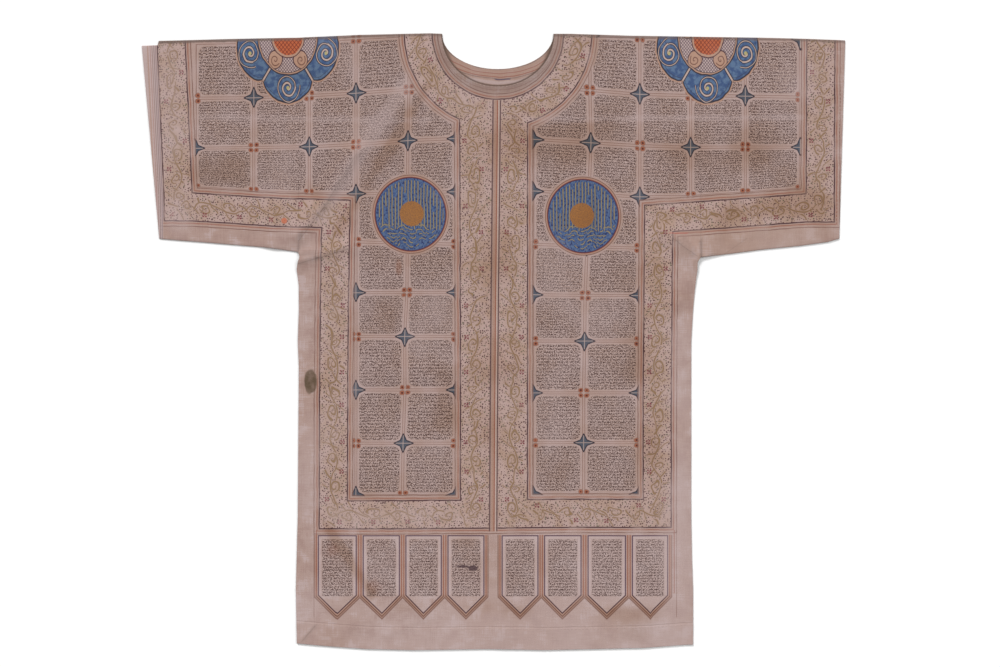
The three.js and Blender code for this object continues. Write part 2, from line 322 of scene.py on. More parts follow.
BAND = 52.0  # depth of a painted band, from its inner to its outer dark line
RING_X, RING_Y, RING_RADIUS = 8.3, 1139.6, 173.3  # the neck ring's middle and its outer dark line
RING_COURSE = 147.0  # radius at which the scroll's length round the neck is measured
DISC_MIDDLE, DISC_ACROSS, DISC_Y, DISC_TILT = 6.1, 159.5, 804.2, -0.011
DISC_NARROW = 1.035  # a disc's height over its width
ROSETTE_MIDDLE, ROSETTE_ACROSS, ROSETTE_Y, ROSETTE_FLAT = 7.8, 388.0, 1132.0, 0.8
LOBE = 2 * math.pi / 5  # angle of one of a rosette's lobes
CELL_LINES, BANNER_LINE = 16.0, 5.2  # fewest lines of strokes in a cell, and millimetres a line in a banner
BANNER_PITCH, BANNER_HALF, BANNER_TIP, BANNER_TOP = 79.2, 33.3, 68.2, 211.5
BANNER_NEAR, BANNER_FAR = 50.2, 289.5  # the first and the last banner's middle from the centre stripe
TEXT_Y = 152.2  # middle of the writing in the banners
CELL_FOOT = 219.0  # the cells lie above this and the banners below it
SCROLL, FLOWERS = 44.0, 62.0  # half a wave of the bands' scroll, and the distance between flowers


@dataclass(frozen=True)
class PaintedLayout:
    """Where the painted frames, cells and banners lie, as distances in millimetres.

    Every table gives a hand-ruled line by a few of its points, from the lowest known value up.
    """

    # Inner dark lines of the bands, left then right. The upright ones are y, x and the level ones x, y.
    cuffs: tuple = (((838, -556.9), (1119, -569.8)), ((851, 578.1), (1119, 579.1)))
    sides: tuple = (
        ((272, -270.1), (462, -269.7), (647, -268.2), (832, -264.7)),
        ((277, 276.6), (462, 276.6), (823, 279.4)),
    )
    centres: tuple = (((462, -61.1), (832, -62.0), (962, -62.9)), ((272, 62.9), (962, 62.9)))
    sleeve_foot: tuple = (
        ((-557.8, 845.5), (-402.4, 835.3), (-264.7, 831.6)) + ((276.6, 822.3), (430, 832.5), (578, 843.6))
    )
    foot: tuple = ((-173, 276.3), (160, 279.0))
    stripe: tuple = ((227, -0.9), (425, 0.2), (647, 2.0), (999, 5.6))
    # Columns of the cells, left then right. A column of the body drifts from the hem to the neck: y, x.
    columns: tuple = (
        (-551.3, -443.1, -340.4, -254.4, None, -68.5),
        (567.0, 465.5, 364.3, 270.5, None, 72.2),
    )
    drifts: tuple = (
        ((290, -168.4), (382, -167.4), (481, -163.7), (580, -164.3))
        + ((661, -160), (942, -158.2), (1037, -156.3)),
        ((290, 166.5), (475, 166.5), (571, 168.2), (655, 169.3), (938, 180.4), (1035, 178.5)),
    )
    # Rows of the cells from the shoulder down, at the columns from the left cuff to the right cuff.
    row_x: tuple = (-551, -443, -340, -254, -158, -70, 72, 178, 268, 364, 463, 567)
    rows: tuple = (
        (1122, 1124, 1126, 1131, 1136, 1138, 1138, 1136, 1134, 1132, 1131, 1130),
        (1020, 1021, 1025, 1029.5, 1036.5, 1040, 1040, 1035, 1027.5, 1025, 1024, 1022),
        (927.5, 929, 930.5, 934.5, 942, 946, 944.5, 938, 932.5, 929.5, 930, 929.5),
        (855.5, 848, 844, 843.5, 845.5, 847.5, 849, 843, 838, 838.5, 845, 853),
        (755,) * 4 + (752, 750.5, 750.5, 746) + (743,) * 4,
        (660.5,) * 4 + (661, 661, 657) + (655.5,) * 5,
        (580,) * 6 + (571.5,) * 6,
        (481,) * 6 + (475.5,) * 6,
        (382.5,) * 6 + (383.5,) * 6,
        (286,) * 6 + (288.3,) * 6,
    )
    # Middles of the four banners to each side, measured from the centre stripe.
    banners: tuple = ((50.1, 128.8, 205.4, 287.2), (50.3, 128.1, 210.4, 291.8))
    # Widths of the columns' cells from the cuff inwards, and heights of the rows' from the neck down.
    cell_widths: tuple = (108, 105, 95, 91, 92, 88)
    cell_heights: tuple = (92, 89, 90, 91, 87, 90, 98, 98, 99)

    @staticmethod
    def _read(at: np.ndarray, table: tuple) -> np.ndarray:
        """A ruled line's other coordinate: straight between the table's points."""
        return np.interp(at, *np.array(table, float).T)

    def _column(self, x: np.ndarray, y: np.ndarray, hand: int) -> np.ndarray:
        """Cell column as a number that grows by 1 from ruled line to ruled line, from the cuff inwards."""
        lines, drift = self.columns[hand], self._read(y, self.drifts[hand])
        places = [drift if line is None else np.full(y.shape, line) for line in lines]
        return sum(np.clip((x - a) / (b - a), 0, 1) for a, b in zip(places, places[1:]))

    def _row(self, x: np.ndarray, y: np.ndarray) -> np.ndarray:
        """Cell row as a number that grows by 1 from ruled line to ruled line, from the shoulder down."""
        heights = [np.interp(x, self.row_x, row) for row in self.rows]
        shares = [(a - y) / (a - b) for a, b in zip(heights, heights[1:])]
        return np.minimum(shares[0], 1) + sum(np.clip(share, 0, 1) for share in shares[1:])

    def fields(self, x: np.ndarray, y: np.ndarray) -> dict[str, np.ndarray]:
        """Signed distances and cell numbers that the paint follows.

        A band's distance is 0 on its inner dark line and -BAND on its outer one.

        Args:
            x: across positions.
            y: positions up from the hem.

        Returns:
            Values at the points, by attribute name.
        """
        stripe = x - self._read(y, self.stripe)
        left = stripe < 0
        column = np.where(left, self._column(x, y, 0), self._column(x, y, 1))
        row = self._row(x, y)
        whole = np.round(column), np.round(row)
        star = (whole[0] + whole[1]) % 2 == 0
        star &= ~((whole[0] == 1) & (whole[1] == 3))
        star |= (whole[0] == 5) & (whole[1] == 2)
        empty = (whole[0] == 0) & (whole[1] == 0) & left
        banner = np.where(left, *(np.interp(np.abs(stripe), middles, range(4)) for middles in self.banners))
        past = np.minimum(np.abs(stripe) - BANNER_NEAR, 0) + np.maximum(np.abs(stripe) - BANNER_FAR, 0)
        found = {
            "sleeve": y - self._read(x, self.sleeve_foot),
            "foot": y - self._read(x, self.foot),
            "stripe": stripe,
            "column": column,
            "row": row,
            "wide": np.interp(column, range(6), self.cell_widths),
            "tall": np.interp(row, range(1, 10), self.cell_heights),
            "star": np.where(empty, -1.0, star),  # 1 a star, 0 a floret, -1 neither
            "banner": banner + past / BANNER_PITCH,
            "dirt_and_shade": line_shares(x, y, CREASES, DIRT_AND_SHADE),
            "tone": line_shares(x, y, TONES, 5),
        }
        bands = (("cuff", self.cuffs, 1), ("side", self.sides, 1), ("centre", self.centres, -1))
        for name, pair, way in bands:
            gaps = [x - self._read(y, table) for table in pair]
            found[name] = np.where(left, gaps[0] * way, -gaps[1] * way)
        return found


# ---- Cloth pieces ----


class Leaf(Enum):
    """Which side of the laid-out shirt a panel is, by its solid's name."""

    FRONT = "front_panel"
    BACK = "back_panel"


@dataclass(frozen=True)
class PanelCloth:
    """One straight panel of the body, with a round neck and a turned-up hem."""

    leaf: Leaf
    neck_depth: float
    beside: int  # columns to each side of the neck
    within: int  # columns across the neck
    turn: int  # rows in the turned-up hem
    skirt: int  # rows from the hem's line to the bend of the side
    side: int  # rows from the bend to the underarm
    chest: int  # rows from the underarm to the head

    def plan(self) -> np.ndarray:
        """Outline positions of the panel's grid.

        Columns run even beside the neck and at even turns of its arc within it, where the neck cuts
        depth * sqrt(1 - across^2) below the shoulder. Row heights are straight shares between the levels
        edge, turn, line, bend, underarm and head, and each column keeps its share between the two sides.

        Returns:
            Columns x rows x 2 positions.
        """
        left, right = SIDES[-1, 1], SIDES[-1, 2]
        low, high = NECK_MIDDLE - NECK_HALF, NECK_MIDDLE + NECK_HALF
        arc = NECK_MIDDLE - NECK_HALF * np.cos(np.pi * np.arange(self.within) / self.within)
        beside = np.linspace(left, low, self.beside + 1)[:-1], np.linspace(high, right, self.beside + 1)
        x = np.concatenate((beside[0], arc, beside[1]))[:, None]
        edge = np.interp(x, *HEM_EDGE.T)
        across = np.clip((x - NECK_MIDDLE) / NECK_HALF, -1, 1)
        head = np.interp(x, *SHOULDER.T) - self.neck_depth * np.sqrt(1 - across**2)
        levels = (edge, edge + HEM_DEPTH - HEM_LINE, edge + HEM_DEPTH, BEND + 0 * x, UNDERARM + 0 * x, head)
        steps = (self.turn, 3, self.skirt, self.side, self.chest)
        rows = [a + (b - a) * np.arange(n)[None] / n for a, b, n in zip(levels, levels[1:], steps)]
        y = np.concatenate(rows + [head], axis=1)
        sides = [np.interp(y, SIDES[:, 0], SIDES[:, k]) for k in (1, 2)]
        return np.dstack((sides[0] + (x - left) / (right - left) * (sides[1] - sides[0]), y))

    def heights(self, x: np.ndarray, y: np.ndarray) -> tuple[np.ndarray, np.ndarray]:
        """Heights of the upper and the lower skin.

        Args:
            x: across positions.
            y: positions up from the hem.

        Returns:
            Upper heights and lower heights.
        """
        if self.leaf is Leaf.BACK:
            return np.full(x.shape, CLOTH), np.zeros(x.shape)
        below = np.clip((np.interp(x, *HEM_EDGE.T) + HEM_DEPTH - y) / HEM_LINE, 0, 1)
        away, deep = self.neck_distance(x, y)
        rolled = np.exp(-((away / NECK_ROLL_WIDTH) ** 2)) * np.clip(deep / NECK_ROLL_RISE, 0, 1)
        lift = laid_height(x, y) + NECK_ROLL * rolled
        return FRONT_BASE + CLOTH + HEM_LIFT * below + lift, FRONT_BASE + lift

    def neck_distance(self, x: np.ndarray, y: np.ndarray) -> tuple[np.ndarray, np.ndarray]:
        """Distance from the neck's edge, (|point on the unit ellipse's scale| - 1) * depth.

        Args:
            x: across positions.
            y: positions up from the hem.

        Returns:
            The distance, FAR above the shoulder line, and the depth below the shoulder line.
        """
        deep = np.interp(x, *SHOULDER.T) - y
        reach = np.hypot((x - NECK_MIDDLE) / NECK_HALF, deep / self.neck_depth)
        return np.where(deep > -1, (reach - 1) * self.neck_depth, FAR), deep

    def build(self, layout: PaintedLayout) -> bpy.types.Object:
        """Makes the panel as a thin closed wall and gives it the paint's fields.

        Args:
            layout: the painted design.

        Returns:
            The panel's object.
        """
        plan = self.plan()
        top, under = self.heights(plan[..., 0], plan[..., 1])
        points, faces = closed_wall(plan, top, under)
        x, y = points[:, 0], points[:, 1]
        fields = layout.fields(x, y) if self.leaf is Leaf.FRONT else {}
        fields["neck"], fields["top"] = self.neck_distance(x, y)
        if self.leaf is Leaf.BACK:
            reach = np.hypot((x - NECK_MIDDLE) / NECK_HALF, fields["top"] / NECK_FRONT)
            fields["under"] = (1 - reach) * NECK_FRONT
        fields["hem"] = y - np.interp(x, *HEM_EDGE.T) - HEM_DEPTH
        painted = (np.ones(top.size), np.zeros(top.size), np.full(len(points) - 2 * top.size, EDGE_PAINT))
        fields["painted"] = np.concatenate(painted)
        return add_mesh(self.leaf.name.lower() + "_cloth", points, faces, fields)


FRONT = PanelCloth(Leaf.FRONT, NECK_FRONT, 54, 44, 9, 130, 10, 80)
BACK = PanelCloth(Leaf.BACK, NECK_BACK, 24, 30, 6, 64, 6, 38)


@dataclass(frozen=True)
class SleeveCloth:
    """One wide sleeve: a cloth folded along the shoulder line and closed under the arm."""

    name: str
    table: np.ndarray
    outward: int  # -1 for the left sleeve, 1 for the right
    step: float = 5.0  # spacing of the sections and of the points across a leaf
    across: int = 78
    fold_points: int = 5

    def sections(self) -> np.ndarray:
        """The sleeve's sections, with more worked out between the table's rows, from left to right."""
        rows = [self.table[0]]
        for start, end in zip(self.table, self.table[1:]):
            count = max(2, int(np.ceil(abs(end[0] - start[0]) / self.step)))
            rows.extend(start + (end - start) * (k + 1) / count for k in range(count))
        return np.array(rows)[:: self.outward]

    def rings(self, inset: float, sections: np.ndarray) -> tuple[np.ndarray, np.ndarray]:
        """Rings of points around the sleeve's wall.

        From the fold on top down the upper leaf to the underarm, and back along the leaf that lies on the
        surface. A fold is a half circle of radius R: t = edge +- R cos a, z = middle + R sin a.

        Args:
            inset: distance from the sleeve's outside, 0 or one cloth.
            sections: x and y of the fold on top and of the underarm, a row each.

        Returns:
            Sections x around x 3 points, and how far each point around faces up, 0 to 1.
        """
        middle = (FRONT_BASE + CLOTH) / 2
        radius = middle - inset
        span = np.hypot(sections[:, 0] - sections[:, 2], sections[:, 1] - sections[:, 3])[:, None]
        leaf = np.linspace(0, 1, self.across + 1)
        turn = np.linspace(0, math.pi, self.fold_points + 2)[1:-1]
        start, end = middle, span - middle
        bulge = radius * np.sin(turn)
        run = (end - start) * leaf
        share = np.concatenate((end - run, start - bulge + 0 * span, start + run, end + bulge), axis=1) / span
        flat, curved = np.full(leaf.shape, radius), radius * np.cos(turn)
        high = middle + np.concatenate((flat, curved, -flat, -curved))
        upward = np.clip((high - middle) / radius, 0, 1)
        x = sections[:, 2:3] + (sections[:, 0:1] - sections[:, 2:3]) * share + self.outward * SEWN_GAP
        y = sections[:, 3:4] + (sections[:, 1:2] - sections[:, 3:4]) * share
        return np.dstack((x, y, high + upward * laid_height(x, y))), upward

    def build(self, layout: PaintedLayout) -> bpy.types.Object:
        """Makes the sleeve as an open tube with a wall and rounded cuffs.

        Args:
            layout: the painted design.

        Returns:
            The sleeve's object.
        """
        sections = self.sections()
        outer, upward = self.rings(0, sections)
        inner, _ = self.rings(CLOTH, sections)
        around = outer.shape[1]
        ends = (outer[[0, -1]] + inner[[0, -1]]) / 2
        first_roll, last_roll = (ROLL, SEAM_ROLL)[:: -self.outward]
        for rings in (outer, inner):
            rings[0, :, 0] += first_roll
            rings[-1, :, 0] -= last_roll
        points = np.concatenate([part.reshape(-1, 3) for part in (outer, inner, ends)])
        count = outer.shape[0] * around
        index = np.arange(count).reshape(-1, around)
        loop = closed(index)
        first = 2 * count + np.arange(around)
        last = first + around
        rims = ((index[0], first), (first, index[0] + count), (last, index[-1]), (index[-1] + count, last))
        walls = (grid_faces(loop)[:, ::-1], grid_faces(loop + count))
        faces = np.concatenate((*walls, *(loop_faces(*pair) for pair in rims)))
        fields = layout.fields(points[:, 0], points[:, 1])
        fields["neck"] = fields["hem"] = np.full(len(points), FAR)
        fields["top"] = np.interp(points[:, 0], *SHOULDER.T) - points[:, 1]
        painted = (np.tile(upward, outer.shape[0]), np.zeros(count), np.tile(upward * EDGE_PAINT, 2))
        fields["painted"] = np.concatenate(painted)
        return add_mesh(self.name, points, faces, fields)


@dataclass(frozen=True)
class StitchRow:
    """A row of small running stitches that follows a line on the cloth."""

    name: str
    pitch: float = 7.0
    length: float = 3.6
    thick: float = 0.45
    sides: int = 6
    rings: int = 5

    def build(self, lines: list[np.ndarray]) -> bpy.types.Object:
        """Makes all the stitches of some lines as one mesh.

        A stitch is a bead round its middle: length * cos a along the line, thick * sin a around it.

        Args:
            lines: n x 3 points on the cloth, one array a line.

        Returns:
            The object with all the stitches.
        """
        places, runs = [], []
        for line in lines:
            gone = np.concatenate(([0], np.cumsum(np.linalg.norm(np.diff(line, axis=0), axis=1))))
            at = np.arange(self.pitch / 2, gone[-1], self.pitch)
            spot, ahead = (
                np.stack([np.interp(at + more, gone, column) for column in line.T], axis=1)
                for more in (0, 0.5)
            )
            way = ahead - spot
            places.append(spot)
            runs.append(way / np.maximum(np.linalg.norm(way, axis=1, keepdims=True), 1e-6))
        place, run = np.concatenate(places), np.concatenate(runs)
        aside = np.cross(run, (0.0, 0.0, 1.0))
        aside /= np.linalg.norm(aside, axis=1, keepdims=True)
        up = np.cross(aside, run)
        slope = np.linspace(0, math.pi, self.rings)
        along, around = -np.cos(slope) * self.length / 2, np.maximum(np.sin(slope), 0.12) * self.thick
        turn = np.arange(self.sides) * 2 * math.pi / self.sides
        level = np.cos(turn)[None, :] * around[:, None]
        rise = np.sin(turn)[None, :] * around[:, None]
        beads = (
            place[:, None, None]
            + run[:, None, None] * along[None, :, None, None]
            + aside[:, None, None] * level[None, :, :, None]
            + up[:, None, None] * rise[None, :, :, None]
        )
        count = self.rings * self.sides
        loop = closed(np.arange(count).reshape(self.rings, self.sides))
        ends = np.array([(0, 5, 4, 1), (1, 4, 3, 2)])
        one = np.concatenate((grid_faces(loop)[:, ::-1], ends[:, ::-1], ends + count - self.sides))
        faces = (one[None] + (np.arange(len(place)) * count)[:, None, None]).reshape(-1, 4)
        return add_mesh(self.name, beads.reshape(-1, 3), faces, {})


# ---- Pigments and the nodes that lay them ----

LIGHT = 1.12  # light on the cloth, as a share of what makes white paper white


class Pigment(Enum):
    """Colours as they look in plain white light, in display values from 0 to 255."""

    COTTON = (179, 154, 147)
    COTTON_WARM = (172, 143, 132)
    COTTON_DARK = (163, 134, 126)
    COTTON_PALE = (192, 171, 169)
    FIELD = (176, 151, 145)
    FIELD_BROWN = (166, 137, 124)
    BAND = (184, 157, 150)
    BAND_TAN = (174, 145, 130)
    PALE_LINE = (190, 167, 158)
    TEXT_PALE = (193, 171, 166)
    INK = (66, 40, 38)
    INK_RUST = (140, 92, 70)
    DARK_LINE = (76, 48, 54)
    VIOLET_LINE = (82, 58, 78)
    RUST = (144, 84, 64)
    RUST_TINT = (170, 134, 118)
    BROWN_LINE = (120, 84, 72)
    RED_LINE = (176, 74, 58)
    BROWNING_AND_SHADE = (232, 214, 192)
    ORANGE_MARK = (196, 108, 74)
    GOLD = (146, 115, 78)
    GOLD_EDGE = (110, 84, 66)
    GOLD_PALE = (156, 140, 100)
    STAR = (86, 92, 104)
    STAR_EDGE = (54, 48, 58)
    PETAL = (164, 96, 68)
    PETAL_HEART = (88, 44, 38)
    DOT = (78, 48, 50)
    DOT_GREEN = (88, 86, 66)
    FLOWER = (124, 60, 68)
    BLUE = (62, 82, 128)
    BLUE_PALE = (88, 108, 140)
    BLUE_DEEP = (42, 48, 88)
    BLUE_EDGE = (72, 44, 66)
    ORANGE = (164, 110, 58)
    ORANGE_DARK = (134, 92, 60)
    CLOUD = (92, 115, 146)
    CLOUD_DEEP = (64, 86, 126)
    LATTICE = (186, 98, 62)
    LATTICE_LINE = (120, 52, 40)
    HATCH = (96, 76, 88)
    HATCH_PAPER = (190, 168, 163)
    PEACH = (180, 142, 122)
    DOT_YELLOW = (176, 166, 116)
    GRIME_AND_SHADE = (110, 93, 86)
    SHADE = (88, 70, 58)
    STAIN = (96, 78, 60)
    BLOT = (74, 52, 58)
    THREAD = (196, 176, 166)

    def linear(self) -> tuple[float, float, float, float]:
        """The colour as a linear base colour: display value to the power 2.4, over LIGHT."""
        values = np.array(self.value) / 255
        share = np.where(values > 0.04045, ((values + 0.055) / 1.055) ** 2.4, values / 12.92) / LIGHT
        return (*share.tolist(), 1.0)


class Field:
    """A value that a material works out at each point, with arithmetic that adds nodes."""

    def __init__(self, sheet: NodeSheet, socket: bpy.types.NodeSocket) -> None:
        """Keeps the output socket and the sheet it lies on."""
        self.sheet, self.socket = sheet, socket

    def __add__(self, other: Field | float) -> Field:
        """This plus other."""
        return self.sheet.math("ADD", self, other)

    def __sub__(self, other: Field | float) -> Field:
        """This minus other."""
        return self.sheet.math("SUBTRACT", self, other)

    def __rsub__(self, other: float) -> Field:
        """A number minus this."""
        return self.sheet.math("SUBTRACT", other, self)

    def __mul__(self, other: Field | float) -> Field:
        """This times other."""
        return self.sheet.math("MULTIPLY", self, other)

    def __truediv__(self, other: Field | float) -> Field:
        """This over other."""
        return self.sheet.math("DIVIDE", self, other)

    def __abs__(self) -> Field:
        """This without its sign."""
        return self.sheet.math("ABSOLUTE", self)

    __radd__, __rmul__ = __add__, __mul__


class NodeSheet:
    """The node tree of one material, as functions that add a node and give its output.

    x, y and z are the position in millimetres, y up from the hem, and colour is the paint laid so far.
    """

    def __init__(self, name: str) -> None:
        """Starts a material with no nodes but the position's."""
        self.material = bpy.data.materials.new(name)
        self.material.use_nodes = True
        self.tree = self.material.node_tree
        self.tree.nodes.clear()
        place = self.field("ShaderNodeTexCoord", {}, 3)
        parts = self.node("ShaderNodeSeparateXYZ", {0: place}).outputs
        self.x, middle_y, self.z = (Field(self, part) / MM for part in parts)
        self.y = middle_y + LENGTH / 2
        self.colour: Field | None = None

    def node(self, kind: str, values: dict, **settings: object) -> bpy.types.Node:
        """Adds a node.

        Args:
            kind: the node's type name.
            values: input socket by name or number, and what goes in: a Field or a plain value.
            settings: properties of the node.

        Returns:
            The node.
        """
        made = self.tree.nodes.new(kind)
        for key, value in settings.items():
            setattr(made, key, value)
        for key, value in values.items():
            socket = made.inputs[key]
            if isinstance(value, Field):
                self.tree.links.new(value.socket, socket)
            else:
                socket.default_value = value.linear() if isinstance(value, Pigment) else value
        return made

    def field(self, kind: str, values: dict, output: int = 0, **settings: object) -> Field:
        """Adds a node, as node does, and gives one of its outputs."""
        return Field(self, self.node(kind, values, **settings).outputs[output])

    def math(self, operation: str, *inputs: Field | float) -> Field:
        """One Math node's result."""
        return self.field("ShaderNodeMath", dict(enumerate(inputs)), operation=operation)

    def least(self, first: Field | float, second: Field | float) -> Field:
        """The smaller of two values."""
        return self.math("MINIMUM", first, second)

    def most(self, first: Field | float, second: Field | float) -> Field:
        """The larger of two values."""
        return self.math("MAXIMUM", first, second)

    def sine(self, value: Field) -> Field:
        """The sine of a value."""
        return self.math("SINE", value)

    def vector(self, x: Field | float, y: Field | float, z: Field | float = 0.0) -> Field:
        """A vector of three values."""
        return self.field("ShaderNodeCombineXYZ", {0: x, 1: y, 2: z})

    def reach(self, across: Field, up: Field) -> Field:
        """Length of the vector (across, up)."""
        return self.field("ShaderNodeVectorMath", {0: self.vector(across, up)}, 1, operation="LENGTH")

    def coil(self, across: Field, up: Field, pitch: float) -> tuple[Field, Field]:
        """Distance from a spiral's middle, and the same less pitch * angle / 2 pi, which counts its turns."""
        reach = self.reach(across, up)
        return reach, reach - self.math("ARCTAN2", up, across) * (pitch / (2 * math.pi))

    def attribute(self, name: str) -> Field:
        """A value kept at the mesh's points."""
        return self.field("ShaderNodeAttribute", {}, 2, attribute_name=name)

    def ramp(self, value: Field, low: Field | float, high: float) -> Field:
        """A smooth step from 0 at low to 1 at high, which may be the smaller one."""
        values = {"Value": value, "From Min": low, "From Max": high}
        return self.field("ShaderNodeMapRange", values, interpolation_type="SMOOTHSTEP")

    def line(self, distance: Field, half: float, soft: float = 0.5) -> Field:
        """1 on a line, 0 away from it: a smooth step of the distance around half the line's width."""
        return self.ramp(abs(distance), half + soft, half - soft)

    def blend(
        self, share: Field | float, first: Field | Pigment, second: Field | Pigment, way: str = "MIX"
    ) -> Field:
        """A colour between first, at share 0, and second, or with MULTIPLY both multiplied, at share 1."""
        values = {0: share, 6: first, 7: second}
        return self.field("ShaderNodeMix", values, 2, data_type="RGBA", blend_type=way)

    def between(self, share: Field, first: Field | float, second: Field | float) -> Field:
        """A number between first, at share 0, and second, at share 1."""
        return self.field("ShaderNodeMix", {0: share, 2: first, 3: second})

    def noise(self, place: Field, scale: float, detail: float = 0.0) -> Field:
        """Soft noise around 0.5 at a place."""
        return self.field("ShaderNodeTexNoise", {"Vector": place, "Scale": scale, "Detail": detail})

    def cloud(self, scale: float, detail: float, layer: float = 0.0) -> Field:
        """Soft noise around 0.5 over the laid-out cloth, another one for each layer."""
        return self.noise(self.vector(self.x, self.y, layer), scale, detail)

    def chance(self, lot: Field) -> Field:
        """An even random value from 0 to 1 for each value of lot."""
        return self.field("ShaderNodeTexWhiteNoise", {"W": lot}, noise_dimensions="1D")

    def lay(self, cover: Field, paint: Field | Pigment) -> None:
        """Lays paint over the colour so far."""
        self.colour = self.blend(cover, self.colour, paint)

    def lay_rings(
        self, value: Field, *rings: tuple[float, float, Pigment], within: Field | float = 1.0
    ) -> None:
        """Lays one pigment after another where a distance is small: outer rim, inner rim, pigment."""
        for outside, inside, pigment in rings:
            self.lay(self.ramp(value, outside, inside) * within, pigment)

    def lay_lines(
        self, value: Field, *lines: tuple[float, float, Pigment, float], within: Field | float = 1.0
    ) -> None:
        """Lays lines along a distance: where, half width, pigment, cover."""
        for at, half, pigment, cover in lines:
            self.lay(self.line(value - at, half, 0.8) * within * cover, pigment)

    def stretch(self, x: Field, y: Field, ends: list[float]) -> Field:
        """Distance from a straight line piece, worked out as line_distance does.

        Args:
            x: across position.
            y: position up from the hem.
            ends: x and y of the first end, x and y of the second end.

        Returns:
            The distance.
        """
        run = math.hypot(ends[2] - ends[0], ends[3] - ends[1])
        way_x, way_y = (ends[2] - ends[0]) / run, (ends[3] - ends[1]) / run
        along = (x - ends[0]) * way_x + (y - ends[1]) * way_y
        aside = (x - ends[0]) * way_y - (y - ends[1]) * way_x
        return self.reach(aside, self.most(0.0, self.most(along * -1.0, along - run)))

    def profile(self, value: Field, low: float, high: float, stops: tuple) -> tuple[Field, Field]:
        """Colours laid side by side over a distance.

        Args:
            value: the distance.
            low: distance at the profile's start.
            high: distance at its end.
            stops: distance, pigment and cover of each stop.

        Returns:
            The colour and how far it covers.
        """
        made = self.node("ShaderNodeValToRGB", {0: (value - low) / (high - low)})
        elements = made.color_ramp.elements
        while len(elements) < len(stops):
            elements.new(1.0)
        for element, (distance, pigment, cover) in zip(elements, stops):
            element.position = (distance - low) / (high - low)
            element.color = (*pigment.linear()[:3], cover)
        return Field(self, made.outputs[0]), Field(self, made.outputs[1])

    def finish(self, roughness: float, bump: Field, distance: float) -> bpy.types.Material:
        """Closes the tree with a cloth shader.

        Args:
            roughness: roughness.
            bump: height of the surface's relief.
            distance: metres of relief for a height of 1.

        Returns:
            The material.
        """
        relief = self.field("ShaderNodeBump", {"Height": bump, "Distance": distance, "Strength": 1.0})
        values = {"Base Color": self.colour, "Roughness": roughness, "Normal": relief}
        values |= {"Specular IOR Level": 0.25, "Sheen Weight": 0.06, "Sheen Roughness": 0.5}
        self.node("ShaderNodeOutputMaterial", {0: self.field("ShaderNodeBsdfPrincipled", values)})
        return self.material


# ---- Finishes ----

# Profiles of the painted frames: distance from the dark line away from the band, pigment, cover.
FRAME_LINES = (
    (-1.6, Pigment.DARK_LINE, 0.0),
    (-0.8, Pigment.DARK_LINE, 1.0),
    (0.8, Pigment.DARK_LINE, 1.0),
    (1.6, Pigment.COTTON_WARM, 0.6),
    (2.8, Pigment.RUST_TINT, 0.6),
    (3.8, Pigment.RUST, 0.8),
    (4.7, Pigment.RUST, 0.8),
    (5.7, Pigment.RUST_TINT, 0.5),
    (8.4, Pigment.COTTON, 0.4),
    (9.3, Pigment.BROWN_LINE, 0.9),
    (10.3, Pigment.BROWN_LINE, 0.9),
    (11.3, Pigment.COTTON, 0.0),
)
STRIPE_LINES = (
    (-8.4, Pigment.BAND, 0.0),
    (-7.4, Pigment.DARK_LINE, 0.85),
    (-6.0, Pigment.DARK_LINE, 0.85),
    (-4.6, Pigment.COTTON_WARM, 0.9),
    (-1.6, Pigment.RUST_TINT, 0.9),
    (0.4, Pigment.RUST_TINT, 0.9),
    (1.4, Pigment.RUST, 0.9),
    (2.5, Pigment.RUST, 0.9),
    (3.4, Pigment.PALE_LINE, 0.9),
    (5.3, Pigment.PALE_LINE, 0.9),
    (6.4, Pigment.DARK_LINE, 0.9),
    (7.7, Pigment.DARK_LINE, 0.9),
    (8.8, Pigment.BAND, 0.6),
    (9.8, Pigment.BAND, 0.0),
)
BANNER_LINES = (
    (-9.0, Pigment.COTTON_PALE, 0.0),
    (-5.0, Pigment.COTTON_PALE, 0.5),
    (-1.5, Pigment.COTTON_PALE, 0.6),
    (-0.6, Pigment.VIOLET_LINE, 1.0),
    (0.6, Pigment.VIOLET_LINE, 1.0),
    (1.4, Pigment.COTTON_WARM, 0.6),
    (2.6, Pigment.RUST_TINT, 0.6),
    (3.5, Pigment.RUST, 0.9),
    (4.5, Pigment.RUST, 0.9),
    (5.4, Pigment.RUST_TINT, 0.7),
    (6.4, Pigment.RUST_TINT, 0.7),
    (7.3, Pigment.BROWN_LINE, 0.85),
    (8.2, Pigment.BROWN_LINE, 0.85),
    (9.2, Pigment.COTTON, 0.0),
)
POINT_LINES = (
    (-1.5, Pigment.COTTON_PALE, 0.0),
    (-0.7, Pigment.DARK_LINE, 1.0),
    (0.6, Pigment.DARK_LINE, 1.0),
    (1.5, Pigment.RUST_TINT, 0.9),
    (2.6, Pigment.RUST_TINT, 0.9),
    (3.5, Pigment.BROWN_LINE, 1.0),
    (4.7, Pigment.BROWN_LINE, 1.0),
    (5.5, Pigment.RUST_TINT, 0.9),
    (7.0, Pigment.BROWN_LINE, 0.85),
    (8.1, Pigment.BROWN_LINE, 0.85),
    (9.4, Pigment.COTTON, 0.0),
)


